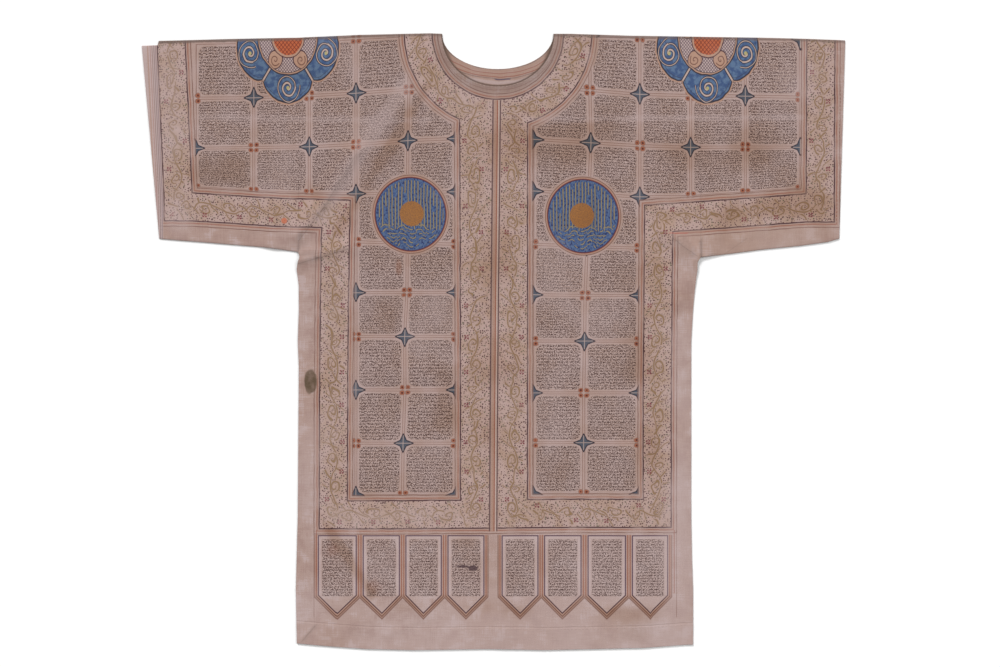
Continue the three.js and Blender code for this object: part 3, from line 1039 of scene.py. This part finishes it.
class Cotton(NodeSheet):
    """Sized and burnished cotton: its colour, soft unevenness and plain weave."""

    pitch = 0.9  # millimetres from thread to thread

    def ground(self) -> None:
        """The bare cloth's colour, with broad clouds, small flecks and painted light and shade."""
        x, y = self.x, self.y
        broad = self.ramp(self.cloud(0.0055, 3.0), 0.3, 0.7)
        self.colour = self.blend(broad, Pigment.COTTON_WARM, Pigment.COTTON)
        warp = self.noise(self.vector(x * 0.5, y * 0.04), 1.0)
        weft = self.noise(self.vector(x * 0.04, y * 0.5, 5.0), 1.0)
        slub = (warp + weft) * 0.25 + self.cloud(0.035, 4.0, 7.0)
        self.lay(self.ramp(slub, 0.75, 0.95) * 0.7, Pigment.COTTON_PALE)
        self.lay(self.ramp(slub, 0.75, 0.55) * 0.75, Pigment.COTTON_DARK)
        # Painted light and shade: paler and pinker towards the hem and the right, tan towards the right
        # sleeve's underarm.
        self.lay(self.ramp(y - x * 0.6, 420.0, -60.0) * 0.4, Pigment.COTTON_PALE)
        self.lay(self.ramp(self.reach(x - 470.0, (y - 800.0) * 1.6), 260.0, 40.0) * 0.5, Pigment.BAND_TAN)

    def weave(self) -> Field:
        """Height of a plain weave, sin(2 pi x / pitch) * sin(2 pi y / pitch), with slubs."""
        turn = 2 * math.pi / self.pitch
        over = self.sine(self.x * turn) * self.sine(self.y * turn)
        return over * 0.35 + self.noise(self.vector(self.x * 0.12, self.y), 0.5, 1.0)


class PaintedCotton(Cotton):
    """The painted front: frames, bands, cells of writing-like strokes, stars, discs and banners.

    outer and inner are distances from the bands' inner dark lines, positive inside the painted fields:
    without the two bands beside the centre stripe, and with them.
    """

    def __init__(self) -> None:
        """Starts the sheet with the distances that several parts of the painting follow."""
        super().__init__("painted_cotton")
        names = ("cuff", "sleeve", "side", "foot", "centre")
        self.cuff, self.sleeve, self.side, self.foot, self.centre = map(self.attribute, names)
        self.arm, self.body = self.least(self.cuff, self.sleeve), self.least(self.side, self.foot)
        ring = self.reach(self.x - RING_X, self.y - RING_Y) - RING_RADIUS
        self.outer = self.least(self.most(self.arm, self.body), ring)
        self.inner = self.least(self.outer, self.centre)
        self.disc_across = (abs(self.x - DISC_MIDDLE) - DISC_ACROSS) * DISC_NARROW
        self.disc_up = self.y - DISC_Y - self.x * DISC_TILT
        self.disc = self.reach(self.disc_across, self.disc_up)
        banner = self.attribute("banner")
        near = self.least(self.most(self.math("ROUND", banner), 0.0), 3.0)
        self.aside = abs(banner - near) * BANNER_PITCH  # from the nearest banner's middle line
        self.off_text = abs(self.y - TEXT_Y)

    def paint(self) -> bpy.types.Material:
        """Lays the whole painting, from the ground up.

        Returns:
            The material.
        """
        self.ground()
        bare = self.colour
        self._cells()
        self._disc()
        self._band()
        beyond = self.most(self.inner, -BAND - self.outer)
        lines, cover = self.profile(beyond + self.cloud(0.04, 2.0) * 2.4 - 1.2, -2.0, 12.0, FRAME_LINES)
        worn = self.ramp(self.cloud(0.03, 2.0, 21.0), 0.3, 0.6)
        self.lay(cover * (worn * 0.4 + 0.6), lines)
        # The centre stripe's ruled lines, from the neck ring down to the banners.
        lines, cover = self.profile(self.attribute("stripe"), -10.0, 10.0, STRIPE_LINES)
        ring = self.ramp(self.attribute("neck"), 26.0, 28.0)
        self.lay(cover * self.ramp(self.y, CELL_FOOT - 1.0, CELL_FOOT + 3.0) * ring, lines)
        self._banner_lines()
        self._outer_lines()
        self._rosette()
        self.colour = self.blend(self.attribute("painted"), bare, self.colour)
        self._wear_and_shade()
        return self.finish(0.82, self.weave(), 0.00018)

    def _cells(self) -> None:
        """Round-cornered cells and banners of small broken strokes, ruled strips, stars and florets."""
        column, row = self.attribute("column"), self.attribute("row")
        side = abs((column - self.math("ROUND", column)) * self.attribute("wide"))
        level = abs((row - self.math("ROUND", row)) * self.attribute("tall"))
        clear = self.ramp(self.inner, 9.5, 12.5) * self.ramp(self.disc, 73.0, 76.0)
        # A cell's round-cornered edge: 12 mm radius around a point 18.5 mm in from the ruled lines.
        ragged = self.cloud(0.14, 1.0, 33.0) * 3.0 - 1.5
        corner = self.reach(self.most(18.5 - side, 0.0), self.most(18.0 - level, 0.0)) + ragged
        cell = self.ramp(corner, 12.8, 11.2) * self.ramp(self.inner, 12.5, 15.5)
        cell = cell * self.ramp(self.disc, 75.0, 78.0)
        block = self.ramp(self.aside, 27.5, 25.5) * self.ramp(self.off_text, 53.5, 51.5)
        block = block * self.ramp(abs(self.x), 345.0, 340.0)
        zone = self.math("LESS_THAN", self.y, CELL_FOOT)
        broad = self.ramp(self.cloud(0.02, 2.0, 40.0), 0.35, 0.65)
        tint = self.blend(broad, Pigment.FIELD, Pigment.FIELD_BROWN)
        self.lay(self.ramp(self.inner, 2.0, 6.0) * 0.75, tint)
        lot = self.math("FLOOR", column) * 3.7 + self.math("FLOOR", row) * 1.9
        per_cell = self.math("FLOOR", self.chance(lot) * 4.0) + CELL_LINES
        self._strokes(self.most(cell, block), self.between(zone, row * per_cell, self.y * (1 / BANNER_LINE)))
        # Ruled strips between the cells.
        strip = self.least(side, level)
        self.lay(self.ramp(corner, 12.5, 14.0) * clear * (1.0 - zone) * 0.3, Pigment.COTTON_PALE)
        self.lay(self.ramp(strip, 3.4, 2.2) * clear * 0.2, Pigment.RUST_TINT)
        self.lay(self.line(strip - 2.1, 0.5, 0.6) * clear * (ragged * 0.1 + 0.8), Pigment.BROWN_LINE)
        # A star is two long kites, across and up: side + 2.2 level < 20 or level + 2.2 side < 20.
        spot = self.ramp(self.inner, 7.5, 9.0) * self.ramp(self.disc, 71.0, 73.0)
        kind = self.attribute("star")
        star = self.most(kind, 0.0) * spot
        shape = self.least(side + level * 2.2, level + side * 2.2) + ragged * 0.5
        shape = self.most(shape, self.most(side, level) + 1.6)
        self.lay(self.ramp(shape, 20.6, 19.2) * star, Pigment.STAR_EDGE)
        self.lay(self.ramp(shape, 17.2, 13.6) * (ragged * 0.25 + 0.75) * star, Pigment.STAR)
        self.lay(self.ramp(strip, 1.0, 0.3) * self.ramp(shape, 17.0, 15.0) * star * 0.75, Pigment.PALE_LINE)
        petal = self.reach(side - 5.2, level - 5.0) + ragged * 1.1
        floret = spot * (1.0 - abs(kind))
        self.lay(self.ramp(petal, 5.2, 4.0) * floret * 0.7, Pigment.BROWN_LINE)
        self.lay(self.ramp(petal, 4.0, 2.8) * floret * 0.9, Pigment.PETAL)
        self.lay(self.ramp(petal, 2.4, 1.0) * floret, Pigment.PETAL_HEART)

    def _strokes(self, text: Field, lines: Field) -> None:
        """Small broken strokes along ruled lines. They are flecks of noise and spell nothing.

        Args:
            text: where the strokes lie.
            lines: number of the line, which grows by 1 from line to line.
        """
        line = self.math("FLOOR", lines)
        within = lines - line - 0.5
        fleck = self.noise(self.vector(self.x * 0.52 + within, line * 7.31 + within * 2.4), 1.0, 1.0)
        dash = self.ramp(fleck, 0.47, 0.54) * self.ramp(abs(within), 0.46, 0.26)
        speck = self.noise(self.vector(self.x * 0.58, self.y * 0.58, 9.0), 1.0)
        self.lay(text * (self.ramp(speck + fleck, 0.98, 0.86) * 0.8), Pigment.TEXT_PALE)
        self.lay(text * (self.most(dash, self.ramp(speck, 0.6, 0.67)) * 0.9), Pigment.INK)

    def _disc(self) -> None:
        """The two blue discs: a mottled blue ground, upright gold lines, low waves and an orange heart."""
        across, up, reach = self.disc_across, self.disc_up, self.disc
        self.lay_rings(reach, (73.6, 72.4, Pigment.BROWN_LINE), (72.0, 71.2, Pigment.RUST_TINT))
        self.lay_rings(reach, (69.8, 69.0, Pigment.RUST), (68.6, 67.8, Pigment.BLUE_EDGE))
        mottle = self.noise(self.vector(across * 0.34, up * 0.2), 1.0, 3.0)
        blue = self.blend(self.ramp(mottle, 0.4, 0.62), Pigment.BLUE, Pigment.BLUE_PALE)
        blue = self.blend(self.ramp(mottle, 0.47, 0.34), blue, Pigment.BLUE_DEEP)
        self.lay(self.ramp(reach, 67.0, 65.8), blue)
        half = 3.05  # half the distance from gold line to gold line
        swayed = across + self.noise(self.vector(across * 0.05, up * 0.03, 4.0), 1.0, 1.0) * 3.0
        bar = self.math("PINGPONG", swayed, half)
        count = self.math("FLOOR", (swayed + half) / (2 * half))
        broken = self.noise(self.vector(count * 3.7, up * 0.045), 1.0)
        upper = self.ramp(up + broken * 26.0, -14.0, -10.0) * self.ramp(broken, 0.3, 0.36)
        sweep = self.math("PINGPONG", up + self.sine(across * 0.19 + broken * 5.0) * 4.5, 4.0)
        lower = self.ramp(up, -17.0, -19.0) * self.ramp(broken, 0.6, 0.54)
        for widest, cover, pigment in ((2.4, 0.6, Pigment.BLUE_DEEP), (1.35, 0.85, Pigment.GOLD_PALE)):
            bars, waves = (self.ramp(value, widest, widest - 0.8) for value in (bar, sweep))
            strokes = self.most(bars * upper, waves * lower)
            self.lay(strokes * self.ramp(reach, 64.0, 62.0) * cover, pigment)
        grain = self.noise(self.vector(across, up, 3.0), 0.9, 1.0)
        heart = self.blend(self.ramp(grain, 0.4, 0.6), Pigment.ORANGE_DARK, Pigment.ORANGE)
        self.lay(self.ramp(self.reach(across + 2.3, up - 1.0) + grain * 3.0, 25.4, 24.0), heart)

    def _band(self) -> None:
        """The bands: a pale ground with dots, small red flowers and a gold scroll that runs along them.

        The scroll is a stem, w = 7 sin(pi u / SCROLL), with slanted leaves and a curl under each crest.
        """
        x, y, inner, outer = self.x, self.y, self.inner, self.outer
        middle = inner + BAND / 2
        within = self.ramp(inner, 0.2, -0.6) * self.ramp(outer, -BAND - 0.2, -BAND + 0.6)
        mottle = self.ramp(self.cloud(0.035, 2.0, 70.0), 0.4, 0.7)
        self.lay(within, self.blend(mottle, Pigment.BAND, Pigment.BAND_TAN))
        # Which way the band runs here: level along the sleeve and the foot, and round the neck.
        arm_level = self.math("LESS_THAN", self.sleeve, self.cuff)
        body_level = self.math("LESS_THAN", self.foot, self.side)
        level = self.between(self.math("GREATER_THAN", self.body, self.arm), arm_level, body_level)
        level = level * self.math("GREATER_THAN", self.centre, outer)
        turned = self.math("ARCTAN2", x - RING_X, y - RING_Y) * RING_COURSE
        cloth = self.least(self.most(self.arm, self.body), self.centre)
        round_neck = self.math("GREATER_THAN", cloth, inner + 0.01)
        along = self.between(round_neck, self.between(level, y, x), turned)
        sway = self.cloud(0.028, 1.0, 51.0)
        course = along + sway * 46.0
        stem = middle + 7.0 - sway * 14.0 - self.sine(course * (math.pi / SCROLL)) * 7.0
        count = self.math("FLOOR", course / SCROLL)
        way = self.math("PINGPONG", count, 1.0) * 2.0 - 1.0
        curl, winding = self.coil(course - count * SCROLL - SCROLL / 2, middle * way - 2.0, 7.0)
        spiral = self.most(self.math("PINGPONG", winding, 3.5), self.most(winding - 9.5, 3.4 - curl))
        # Leaves: slanted strokes to both sides of the stem, every 19 mm, of uneven length.
        slant = self.math("PINGPONG", course + stem * 0.7, 9.5)
        length = self.sine(along * 0.23 + 1.0) * 5.0 + 10.0
        leaf = self.most(self.most(slant, abs(stem) - length), 14.0 - curl)
        gold = self.least(self.least(self.most(abs(stem), 38.0 - sway * 90.0), spiral), leaf)
        self.lay(self.ramp(gold, 8.0, 2.0) * within * 0.4, Pigment.BAND_TAN)
        values = {"Vector": self.vector(x, y), "Scale": 0.25}
        dots = self.node("ShaderNodeTexVoronoi", values, voronoi_dimensions="2D").outputs
        parts = self.node("ShaderNodeSeparateColor", {0: Field(self, dots[1])}).outputs
        size, shown, green = (Field(self, part) for part in parts)
        dot = self.ramp(Field(self, dots[0]) - (size * 0.2 + 0.16), 0.05, -0.05)
        dot = dot * self.math("GREATER_THAN", shown, 0.2) * within
        fleck = self.blend(self.math("GREATER_THAN", green, 0.75), Pigment.DOT, Pigment.DOT_GREEN)
        self.lay(dot * self.ramp(gold, 1.5, 3.0) * 0.9, fleck)
        self.lay(self.ramp(gold, 1.8, 1.1) * within * 0.6, Pigment.GOLD_EDGE)
        self.lay(self.ramp(gold, 0.9, 0.4) * within * 0.85, Pigment.GOLD)
        # Flowers: four dots around a fifth one, to either side of the stem.
        block = self.math("FLOOR", along / FLOWERS)
        shift = self.chance(block + level * 31.0)
        flower_u = along - block * FLOWERS - FLOWERS / 2 + shift * 20.0
        flower_w = middle - self.math("SIGN", shift - 0.5) * (12.0 + shift * 5.0)
        round_dots = self.ramp(self.reach(abs(flower_u) - 2.4, abs(flower_w) - 2.4), 2.1, 1.2)
        petals = self.most(round_dots, self.ramp(self.reach(flower_u, flower_w), 1.4, 0.6))
        self.lay(petals * within * 0.9, Pigment.FLOWER)

    def _banner_lines(self) -> None:
        """Outlines of the eight pointed banners.

        A banner is the point set where the largest of p - BANNER_HALF, (p - y + BANNER_TIP) / sqrt 2 and
        y - BANNER_TOP is below 0, with p the distance from its middle line.
        """
        edge = self.most(self.aside - BANNER_HALF, (self.aside - self.y + BANNER_TIP) * 0.7071)
        edge = self.most(edge, self.y - BANNER_TOP)
        lines, cover = self.profile(edge, -10.0, 11.0, BANNER_LINES)
        point = self.ramp(self.y, 106.0, 98.0)
        point_lines, point_cover = self.profile(edge, -10.0, 11.0, POINT_LINES)
        lines = self.blend(point, lines, point_lines)
        cover = self.between(point, cover, point_cover)
        zone = self.ramp(self.y, BANNER_TOP + 3.0, BANNER_TOP + 0.5) * self.ramp(abs(self.x), 336.0, 333.0)
        beside_text = self.most(self.ramp(self.aside, 26.5, 28.5), self.ramp(self.off_text, 52.0, 54.0))
        self.lay(cover * zone * beside_text, lines)

    def _outer_lines(self) -> None:
        """The side frame's outer lines, down beside the banners too, and more along the left cuff."""
        low = self.ramp(self.y, CELL_FOOT + 4.0, CELL_FOOT + 2.0)
        rust = self.line(self.side + 57.5, 0.9, 0.7) * self.ramp(self.y, 103.0, 107.0)
        brown = self.line(self.side + 61.8, 0.5, 0.6) * self.ramp(self.y, 58.0, 64.0)
        self.lay(rust * low * 0.8, Pigment.RUST)
        self.lay(brown * low * 0.8, Pigment.BROWN_LINE)
        red = self.line(self.y - 771.0, 0.6, 0.8) * self.ramp(abs(self.x - 342.0), 19.0, 16.0)
        self.lay(red * 0.8, Pigment.RED_LINE)
        mark = self.reach(self.x + 386.7, self.y - 793.7)
        self.lay(self.ramp(mark, 6.2, 4.6) * 0.85, Pigment.ORANGE_MARK)
        cuff_end = self.math("LESS_THAN", self.x, -560.0)
        self.lay(self.ramp(self.cuff, -53.2, -54.4) * cuff_end * 0.75, Pigment.COTTON_PALE)
        self.lay_lines(
            self.cuff,
            (-55.4, 0.6, Pigment.VIOLET_LINE, 0.6),
            (-58.6, 0.7, Pigment.DARK_LINE, 0.6),
            (-62.0, 0.7, Pigment.BROWN_LINE, 0.55),
            (-65.4, 0.9, Pigment.RUST, 0.45),
            (-70.0, 1.4, Pigment.RUST_TINT, 0.7),
            within=cuff_end,
        )

    def _rosette(self) -> None:
        """Half a lobed rosette that hangs from each shoulder: lattice heart, hatched ring, cloud lobes.

        The rosette's reach is 76 + 21 |cos(2.5 a)|^0.6 with a the angle from straight down, so half of its
        five lobes hang below the shoulder.
        """
        across = abs(self.x - ROSETTE_MIDDLE) - ROSETTE_ACROSS
        down = (ROSETTE_Y - self.y) * ROSETTE_FLAT
        reach = self.reach(across, down) + (self.cloud(0.06, 1.0, 61.0) * 4.0 - 2.0)
        angle = self.math("ARCTAN2", across, down)
        bulge = self.math("POWER", abs(self.math("COSINE", angle * 2.5)), 0.6)
        edge = reach - bulge * 21.0 - 76.0
        self.lay_rings(edge, (2.6, 1.2, Pigment.PEACH), (0.2, -0.8, Pigment.STAR_EDGE))
        wash = self.ramp(self.cloud(0.1, 2.0, 11.0), 0.4, 0.6)
        self.lay(self.ramp(edge, -2.2, -3.2), self.blend(wash, Pigment.CLOUD_DEEP, Pigment.CLOUD))
        self.lay_lines(edge, (-6.4, 0.5, Pigment.STAR_EDGE, 0.7))
        turned = (angle - self.math("ROUND", angle * (1 / LOBE)) * LOBE) * reach
        part = LOBE / 2 * reach - abs(turned)
        rings = (3.4, 2.6, Pigment.STAR_EDGE), (1.8, 1.0, Pigment.PALE_LINE)
        self.lay_rings(part, *rings, within=self.ramp(edge, 1.0, -1.0))
        curl, winding = self.coil(turned, reach - 74.0, 9.4)
        coil = self.most(self.math("PINGPONG", winding, 4.7), winding - 17.5)
        self.lay_rings(coil, (2.9, 2.1, Pigment.STAR_EDGE), (1.6, 0.9, Pigment.PALE_LINE))
        self.lay_rings(curl, (3.2, 2.4, Pigment.DOT_YELLOW))
        self.lay_rings(reach, (56.5, 55.6, Pigment.STAR_EDGE), (54.6, 53.8, Pigment.PEACH))
        self.lay_rings(reach, (52.8, 52.0, Pigment.STAR_EDGE))
        ring = self.ramp(reach, 52.0, 51.0)
        slopes = across + down, across - down
        hatch = self.most(*(self.sine(slope * 1.2) for slope in slopes))
        self.lay(ring, self.blend(self.ramp(hatch, 0.45, 0.9), Pigment.HATCH_PAPER, Pigment.HATCH))
        near = (angle - self.math("ROUND", angle * (1 / LOBE) - 0.5) * LOBE - LOBE / 2) * reach
        bud, petal = self.coil(near, reach - 40.5, 6.0)
        self.lay_rings(bud, (14.2, 13.4, Pigment.DARK_LINE), (12.6, 11.8, Pigment.PEACH), within=ring)
        whorl = self.ramp(self.math("PINGPONG", petal, 3.0), 1.2, 0.5) * self.ramp(petal, 9.4, 8.8)
        self.lay(whorl * ring, Pigment.BROWN_LINE)
        self.lay_rings(reach, (31.0, 30.0, Pigment.DARK_LINE), (29.4, 28.6, Pigment.PEACH))
        lattice = self.ramp(self.most(*(self.sine(slope * 0.9) for slope in slopes)), 0.6, 0.95)
        self.lay(self.ramp(reach, 26.4, 25.6), self.blend(lattice, Pigment.LATTICE, Pigment.LATTICE_LINE))

    def _wear_and_shade(self) -> None:
        """Stains, crease dirt, marks of handling, and painted light and shade.

        Dirt and painted shade lie in the creases. Painted grey shade lies along the shoulder fold, and
        painted shade along the front's neck edge and the hem's stitched line. The broad tones mix browning
        from handling and pale wear with painted shade and light along folds.
        """
        x, y = self.x, self.y
        rough = self.cloud(0.12, 3.0, 5.0)
        # Broad tones: browning from handling with painted shade along folds above 0, pale wear with painted
        # light along folds below 0.
        tone = self.attribute("tone") + self.cloud(0.009, 5.0, 90.0) * 2.2 - 1.1
        self.colour = self.blend(self.ramp(tone, 0.0, 0.9) * 0.62, self.colour, Pigment.BROWNING_AND_SHADE, "MULTIPLY")
        self.lay(self.ramp(tone, 0.0, -0.9) * 0.32, Pigment.COTTON_PALE)
        # Dark lines of dirt and painted shade along the hardest creases.
        for *ends, cover in SHARP_CREASES:
            pressed = self.stretch(x + rough * 5.0, y + rough * 4.0, ends)
            self.lay(self.line(pressed, 0.4, 1.2) * cover, Pigment.GRIME_AND_SHADE)
        # Painted grey shade along the shoulder fold, darker towards the left sleeve.
        top = self.ramp(self.attribute("top") + rough * 5.0, 9.5, 6.0)
        self.lay(top * (self.ramp(x, -300.0, -480.0) * 0.25 + 0.6), Pigment.GRIME_AND_SHADE)
        neck = self.attribute("neck")
        self.lay(self.ramp(neck, 26.0, 10.0) * 0.3, Pigment.GRIME_AND_SHADE)
        self.lay(self.line(neck - 9.5 + rough * 3.0, 0.5, 0.8) * 0.5, Pigment.BROWN_LINE)
        # A dark line of painted shadow and dirt along the front's neck edge.
        self.lay(self.ramp(abs(neck), 1.8, 0.9) * 0.8, Pigment.SHADE)
        # Dirt and painted shade along the creases.
        self.lay(self.least(self.attribute("dirt_and_shade"), 1.0) * 0.55, Pigment.GRIME_AND_SHADE)
        # Painted shade in the groove of the hem's stitched line.
        self.lay(self.line(self.attribute("hem") + rough * 2.0 - 1.0, 0.7, 1.0) * 0.4, Pigment.GRIME_AND_SHADE)
        oval = self.reach((x + 338.4) * 1.8, y - 496.4) + rough * 10.0
        self.lay(self.ramp(oval, 29.0, 24.0) * (rough * 0.9 + 0.4), Pigment.STAIN)
        for at_x, at_y, size in ((-297.0, 183.0, 20.0), (-222.0, 118.0, 20.0), (-112.0, 88.0, 14.0)):
            stain = self.reach(x - at_x, y - at_y) + rough * 14.0
            self.lay(self.ramp(stain, size + 5.0, size - 8.0) * 0.25, Pigment.INK_RUST)
        # Spilt ink on the fourth banner: a ragged streak that ends in a blot.
        streak = self.most(abs(x + 53.0) - 24.0, abs(y - 152.0 + x * 0.05) - 1.5)
        blot = self.least(streak, self.reach(x + 38.0, (y - 152.0) * 1.6) - 8.0) + rough * 9.0 - 4.0
        self.lay(self.ramp(blot, 1.0, -0.6) * 0.85, Pigment.BLOT)
        drip = self.reach((x + 174.8) * 2.6, y - 706.7) + rough * 12.0
        self.lay(self.ramp(drip, 26.0, 14.0) * 0.4, Pigment.INK_RUST)


class InsideCotton(Cotton):
    """The back panel: bare cotton, with colour that has come through in lines along its neck, and painted
    shade under the front's edge.
    """

    def paint(self) -> bpy.types.Material:
        """Lays the ground, the faint lines and the painted shade under the front's edge.

        Returns:
            The material.
        """
        self.ground()
        bare = self.colour
        neck = self.attribute("neck")
        depth = neck + (self.cloud(0.03, 1.0, 2.0) * 5.0 - 2.5)
        self.lay(self.ramp(neck, 44.0, 20.0) * 0.6, Pigment.FIELD_BROWN)
        self.lay(self.line(depth - 25.5, 3.2, 1.5) * 0.6, Pigment.COTTON_PALE)
        # A dark line at the back's neck edge, then the lines of colour that have come through.
        self.lay_lines(
            depth,
            (0.6, 0.8, Pigment.GRIME_AND_SHADE, 0.7),
            (4.0, 2.2, Pigment.RUST_TINT, 0.5),
            (8.4, 0.8, Pigment.RUST, 0.7),
            (11.5, 1.6, Pigment.RUST_TINT, 0.6),
            (14.8, 1.0, Pigment.RUST, 0.7),
            (18.0, 0.7, Pigment.DARK_LINE, 0.5),
        )
        blue = self.line(depth - 19.5, 0.9, 0.5) * self.ramp(abs(self.x - 17.0), 17.0, 12.0)
        self.lay(blue * 0.8, Pigment.BLUE_DEEP)
        # Painted deep shade, with some dirt, darkens the back under the front's edge, most of all at the two
        # ends of the neck.
        ends = self.ramp(self.attribute("top"), 62.0, 10.0)
        self.lay(self.ramp(self.attribute("under"), ends * 12.0 + 3.0, 0.0) * 0.75, Pigment.SHADE)
        self.colour = self.blend(self.attribute("painted"), bare, self.colour)
        return self.finish(0.85, self.weave(), 0.00018)


class SewingThread(NodeSheet):
    """Undyed cotton thread, twisted along its length."""

    def paint(self) -> bpy.types.Material:
        """Lays a fine twist of two tones.

        Returns:
            The material.
        """
        twist = self.sine((self.x + self.y + self.z * 2.0) * 9.0)
        self.colour = self.blend(self.ramp(twist, -0.6, 0.8), Pigment.COTTON, Pigment.THREAD)
        return self.finish(0.8, twist, 0.00005)


# ---- The studio ----


@dataclass(frozen=True)
class Studio:
    """A pale floor, soft light and a camera that looks straight down."""

    frame_width: float = 1.85  # metres of floor across the picture
    lens: float = 85.0
    sensor: float = 36.0
    aim: tuple[float, float] = (0.012, 0.0151)
    surround: float = 0.39
    floor_half: float = 4.0
    floor_drop: float = 0.0003

    def camera(self) -> None:
        """Sets the camera over the shirt: its height is frame width * lens / sensor."""
        data = bpy.data.cameras.new("copy_stand_camera")
        data.lens, data.sensor_width, data.clip_end = self.lens, self.sensor, 50.0
        camera = bpy.data.objects.new("copy_stand_camera", data)
        camera.location = (*self.aim, self.frame_width * self.lens / self.sensor)
        bpy.context.scene.collection.objects.link(camera)
        bpy.context.scene.camera = camera

    def lights(self) -> None:
        """Two broad lamps from the upper corners and an even surround."""
        for name, strength, spread, turn in (
            ("key_lamp", 2.2, 16.0, (50.0, 0.0, 205.0)),
            ("fill_lamp", 1.1, 40.0, (36.0, 0.0, 120.0)),
        ):
            data = bpy.data.lights.new(name, "SUN")
            data.energy, data.angle = strength, math.radians(spread)
            lamp = bpy.data.objects.new(name, data)
            lamp.rotation_euler = [math.radians(part) for part in turn]
            bpy.context.scene.collection.objects.link(lamp)
        world = bpy.data.worlds.new("soft_surround")
        world.use_nodes = True
        background = world.node_tree.nodes["Background"].inputs
        background[0].default_value = (1.0, 1.0, 1.0, 1.0)
        background[1].default_value = self.surround
        bpy.context.scene.world = world
        bpy.context.scene.view_settings.view_transform = "Standard"

    def floor(self) -> None:
        """A plain pale floor just under the cloth."""
        half, drop = self.floor_half, self.floor_drop
        corners = [(-half, -half, -drop), (half, -half, -drop), (half, half, -drop), (-half, half, -drop)]
        mesh = bpy.data.meshes.new("floor")
        mesh.from_pydata(corners, [], [(0, 1, 2, 3)])
        plane = bpy.data.objects.new("floor", mesh)
        material = bpy.data.materials.new("pale_floor")
        material.use_nodes = True
        shader = material.node_tree.nodes["Principled BSDF"].inputs
        shader["Base Color"].default_value = (0.93, 0.93, 0.93, 1.0)
        shader["Roughness"].default_value = 0.9
        mesh.materials.append(material)
        bpy.context.scene.collection.objects.link(plane)


# ---- The shirt ----


@dataclass
class TalismanicShirt:
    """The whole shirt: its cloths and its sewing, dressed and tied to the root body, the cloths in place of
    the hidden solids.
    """

    layout: PaintedLayout
    painted: bpy.types.Material
    inside: bpy.types.Material
    thread: bpy.types.Material

    def _attach(self, piece: bpy.types.Object, material: bpy.types.Material, slot: str, *nodes: str) -> None:
        """Dresses a piece, ties it to the body and lets it stand for its solids.

        Args:
            piece: the piece's object.
            material: its finish.
            slot: not used.
            nodes: solids that it replaces.
        """
        piece.data.materials.append(material)
        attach(piece, "root")
        if nodes:
            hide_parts(*nodes)
        LOG.info("%s: %d faces", piece.name, len(piece.data.polygons))

    def cloths(self) -> None:
        """Makes the back, the front and the two sleeves."""
        back = BACK.build(self.layout)
        self._attach(back, self.inside, "plain_cotton", BACK.leaf.value)
        front = FRONT.build(self.layout)
        self._attach(front, self.painted, "painted_cotton", FRONT.leaf.value)
        for node, table, outward, flat in (
            ("left_sleeve", LEFT_SLEEVE, -1, (0.77, 0.278)),
            ("right_sleeve", RIGHT_SLEEVE, 1, (0.78, 0.262)),
        ):
            sleeve = SleeveCloth(node + "_cloth", table, outward).build(self.layout)
            self._attach(sleeve, self.painted, "painted_cotton", node)

    def sewing(self) -> None:
        """Makes the running stitches of the neck, the hem and the cuffs."""
        above = 0.1  # height of the stitches' middle over the cloth
        inset, cuff_inset, hem_inset = 3.0, 6.0, 1.0
        turn = np.linspace(0.06, math.pi - 0.06, 120)
        x = NECK_MIDDLE - (NECK_HALF + inset) * np.cos(turn)
        y = LENGTH - 1.0 - (NECK_FRONT + inset) * np.sin(turn)
        neck = np.stack((x, y, FRONT.heights(x, y)[0] + above), axis=1)
        x = np.linspace(-355, 360, 240)
        y = np.interp(x, *HEM_EDGE.T) + HEM_DEPTH - HEM_LINE - hem_inset
        hem = np.stack((x, y, FRONT.heights(x, y)[0] + above), axis=1)
        cuffs = []
        for (fold_x, fold_y, arm_x, arm_y), out in ((LEFT_SLEEVE[-1], 1), (RIGHT_SLEEVE[-1], -1)):
            share = np.linspace(0.02, 0.98, 120)
            x = arm_x + (fold_x - arm_x) * share + out * cuff_inset
            y = arm_y + (fold_y - arm_y) * share
            cuffs.append(np.stack((x, y, FRONT_BASE + CLOTH + laid_height(x, y) + above), axis=1))
        for name, lines in (("neck_stitches", [neck]), ("hem_stitches", [hem]), ("cuff_stitches", cuffs)):
            self._attach(StitchRow(name).build(lines), self.thread, "plain_cotton")


def main() -> None:
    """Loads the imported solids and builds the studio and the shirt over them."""
    logging.basicConfig(level=logging.INFO, format="%(name)s: %(message)s")
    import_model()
    studio = Studio()
    studio.camera()
    studio.lights()
    studio.floor()
    shirt = TalismanicShirt(
        PaintedLayout(),
        PaintedCotton().paint(),
        InsideCotton("plain_cotton").paint(),
        SewingThread("sewing_thread").paint(),
    )
    shirt.cloths()
    shirt.sewing()
    bpy.context.view_layer.update()


if __name__ == "__main__":
    main()
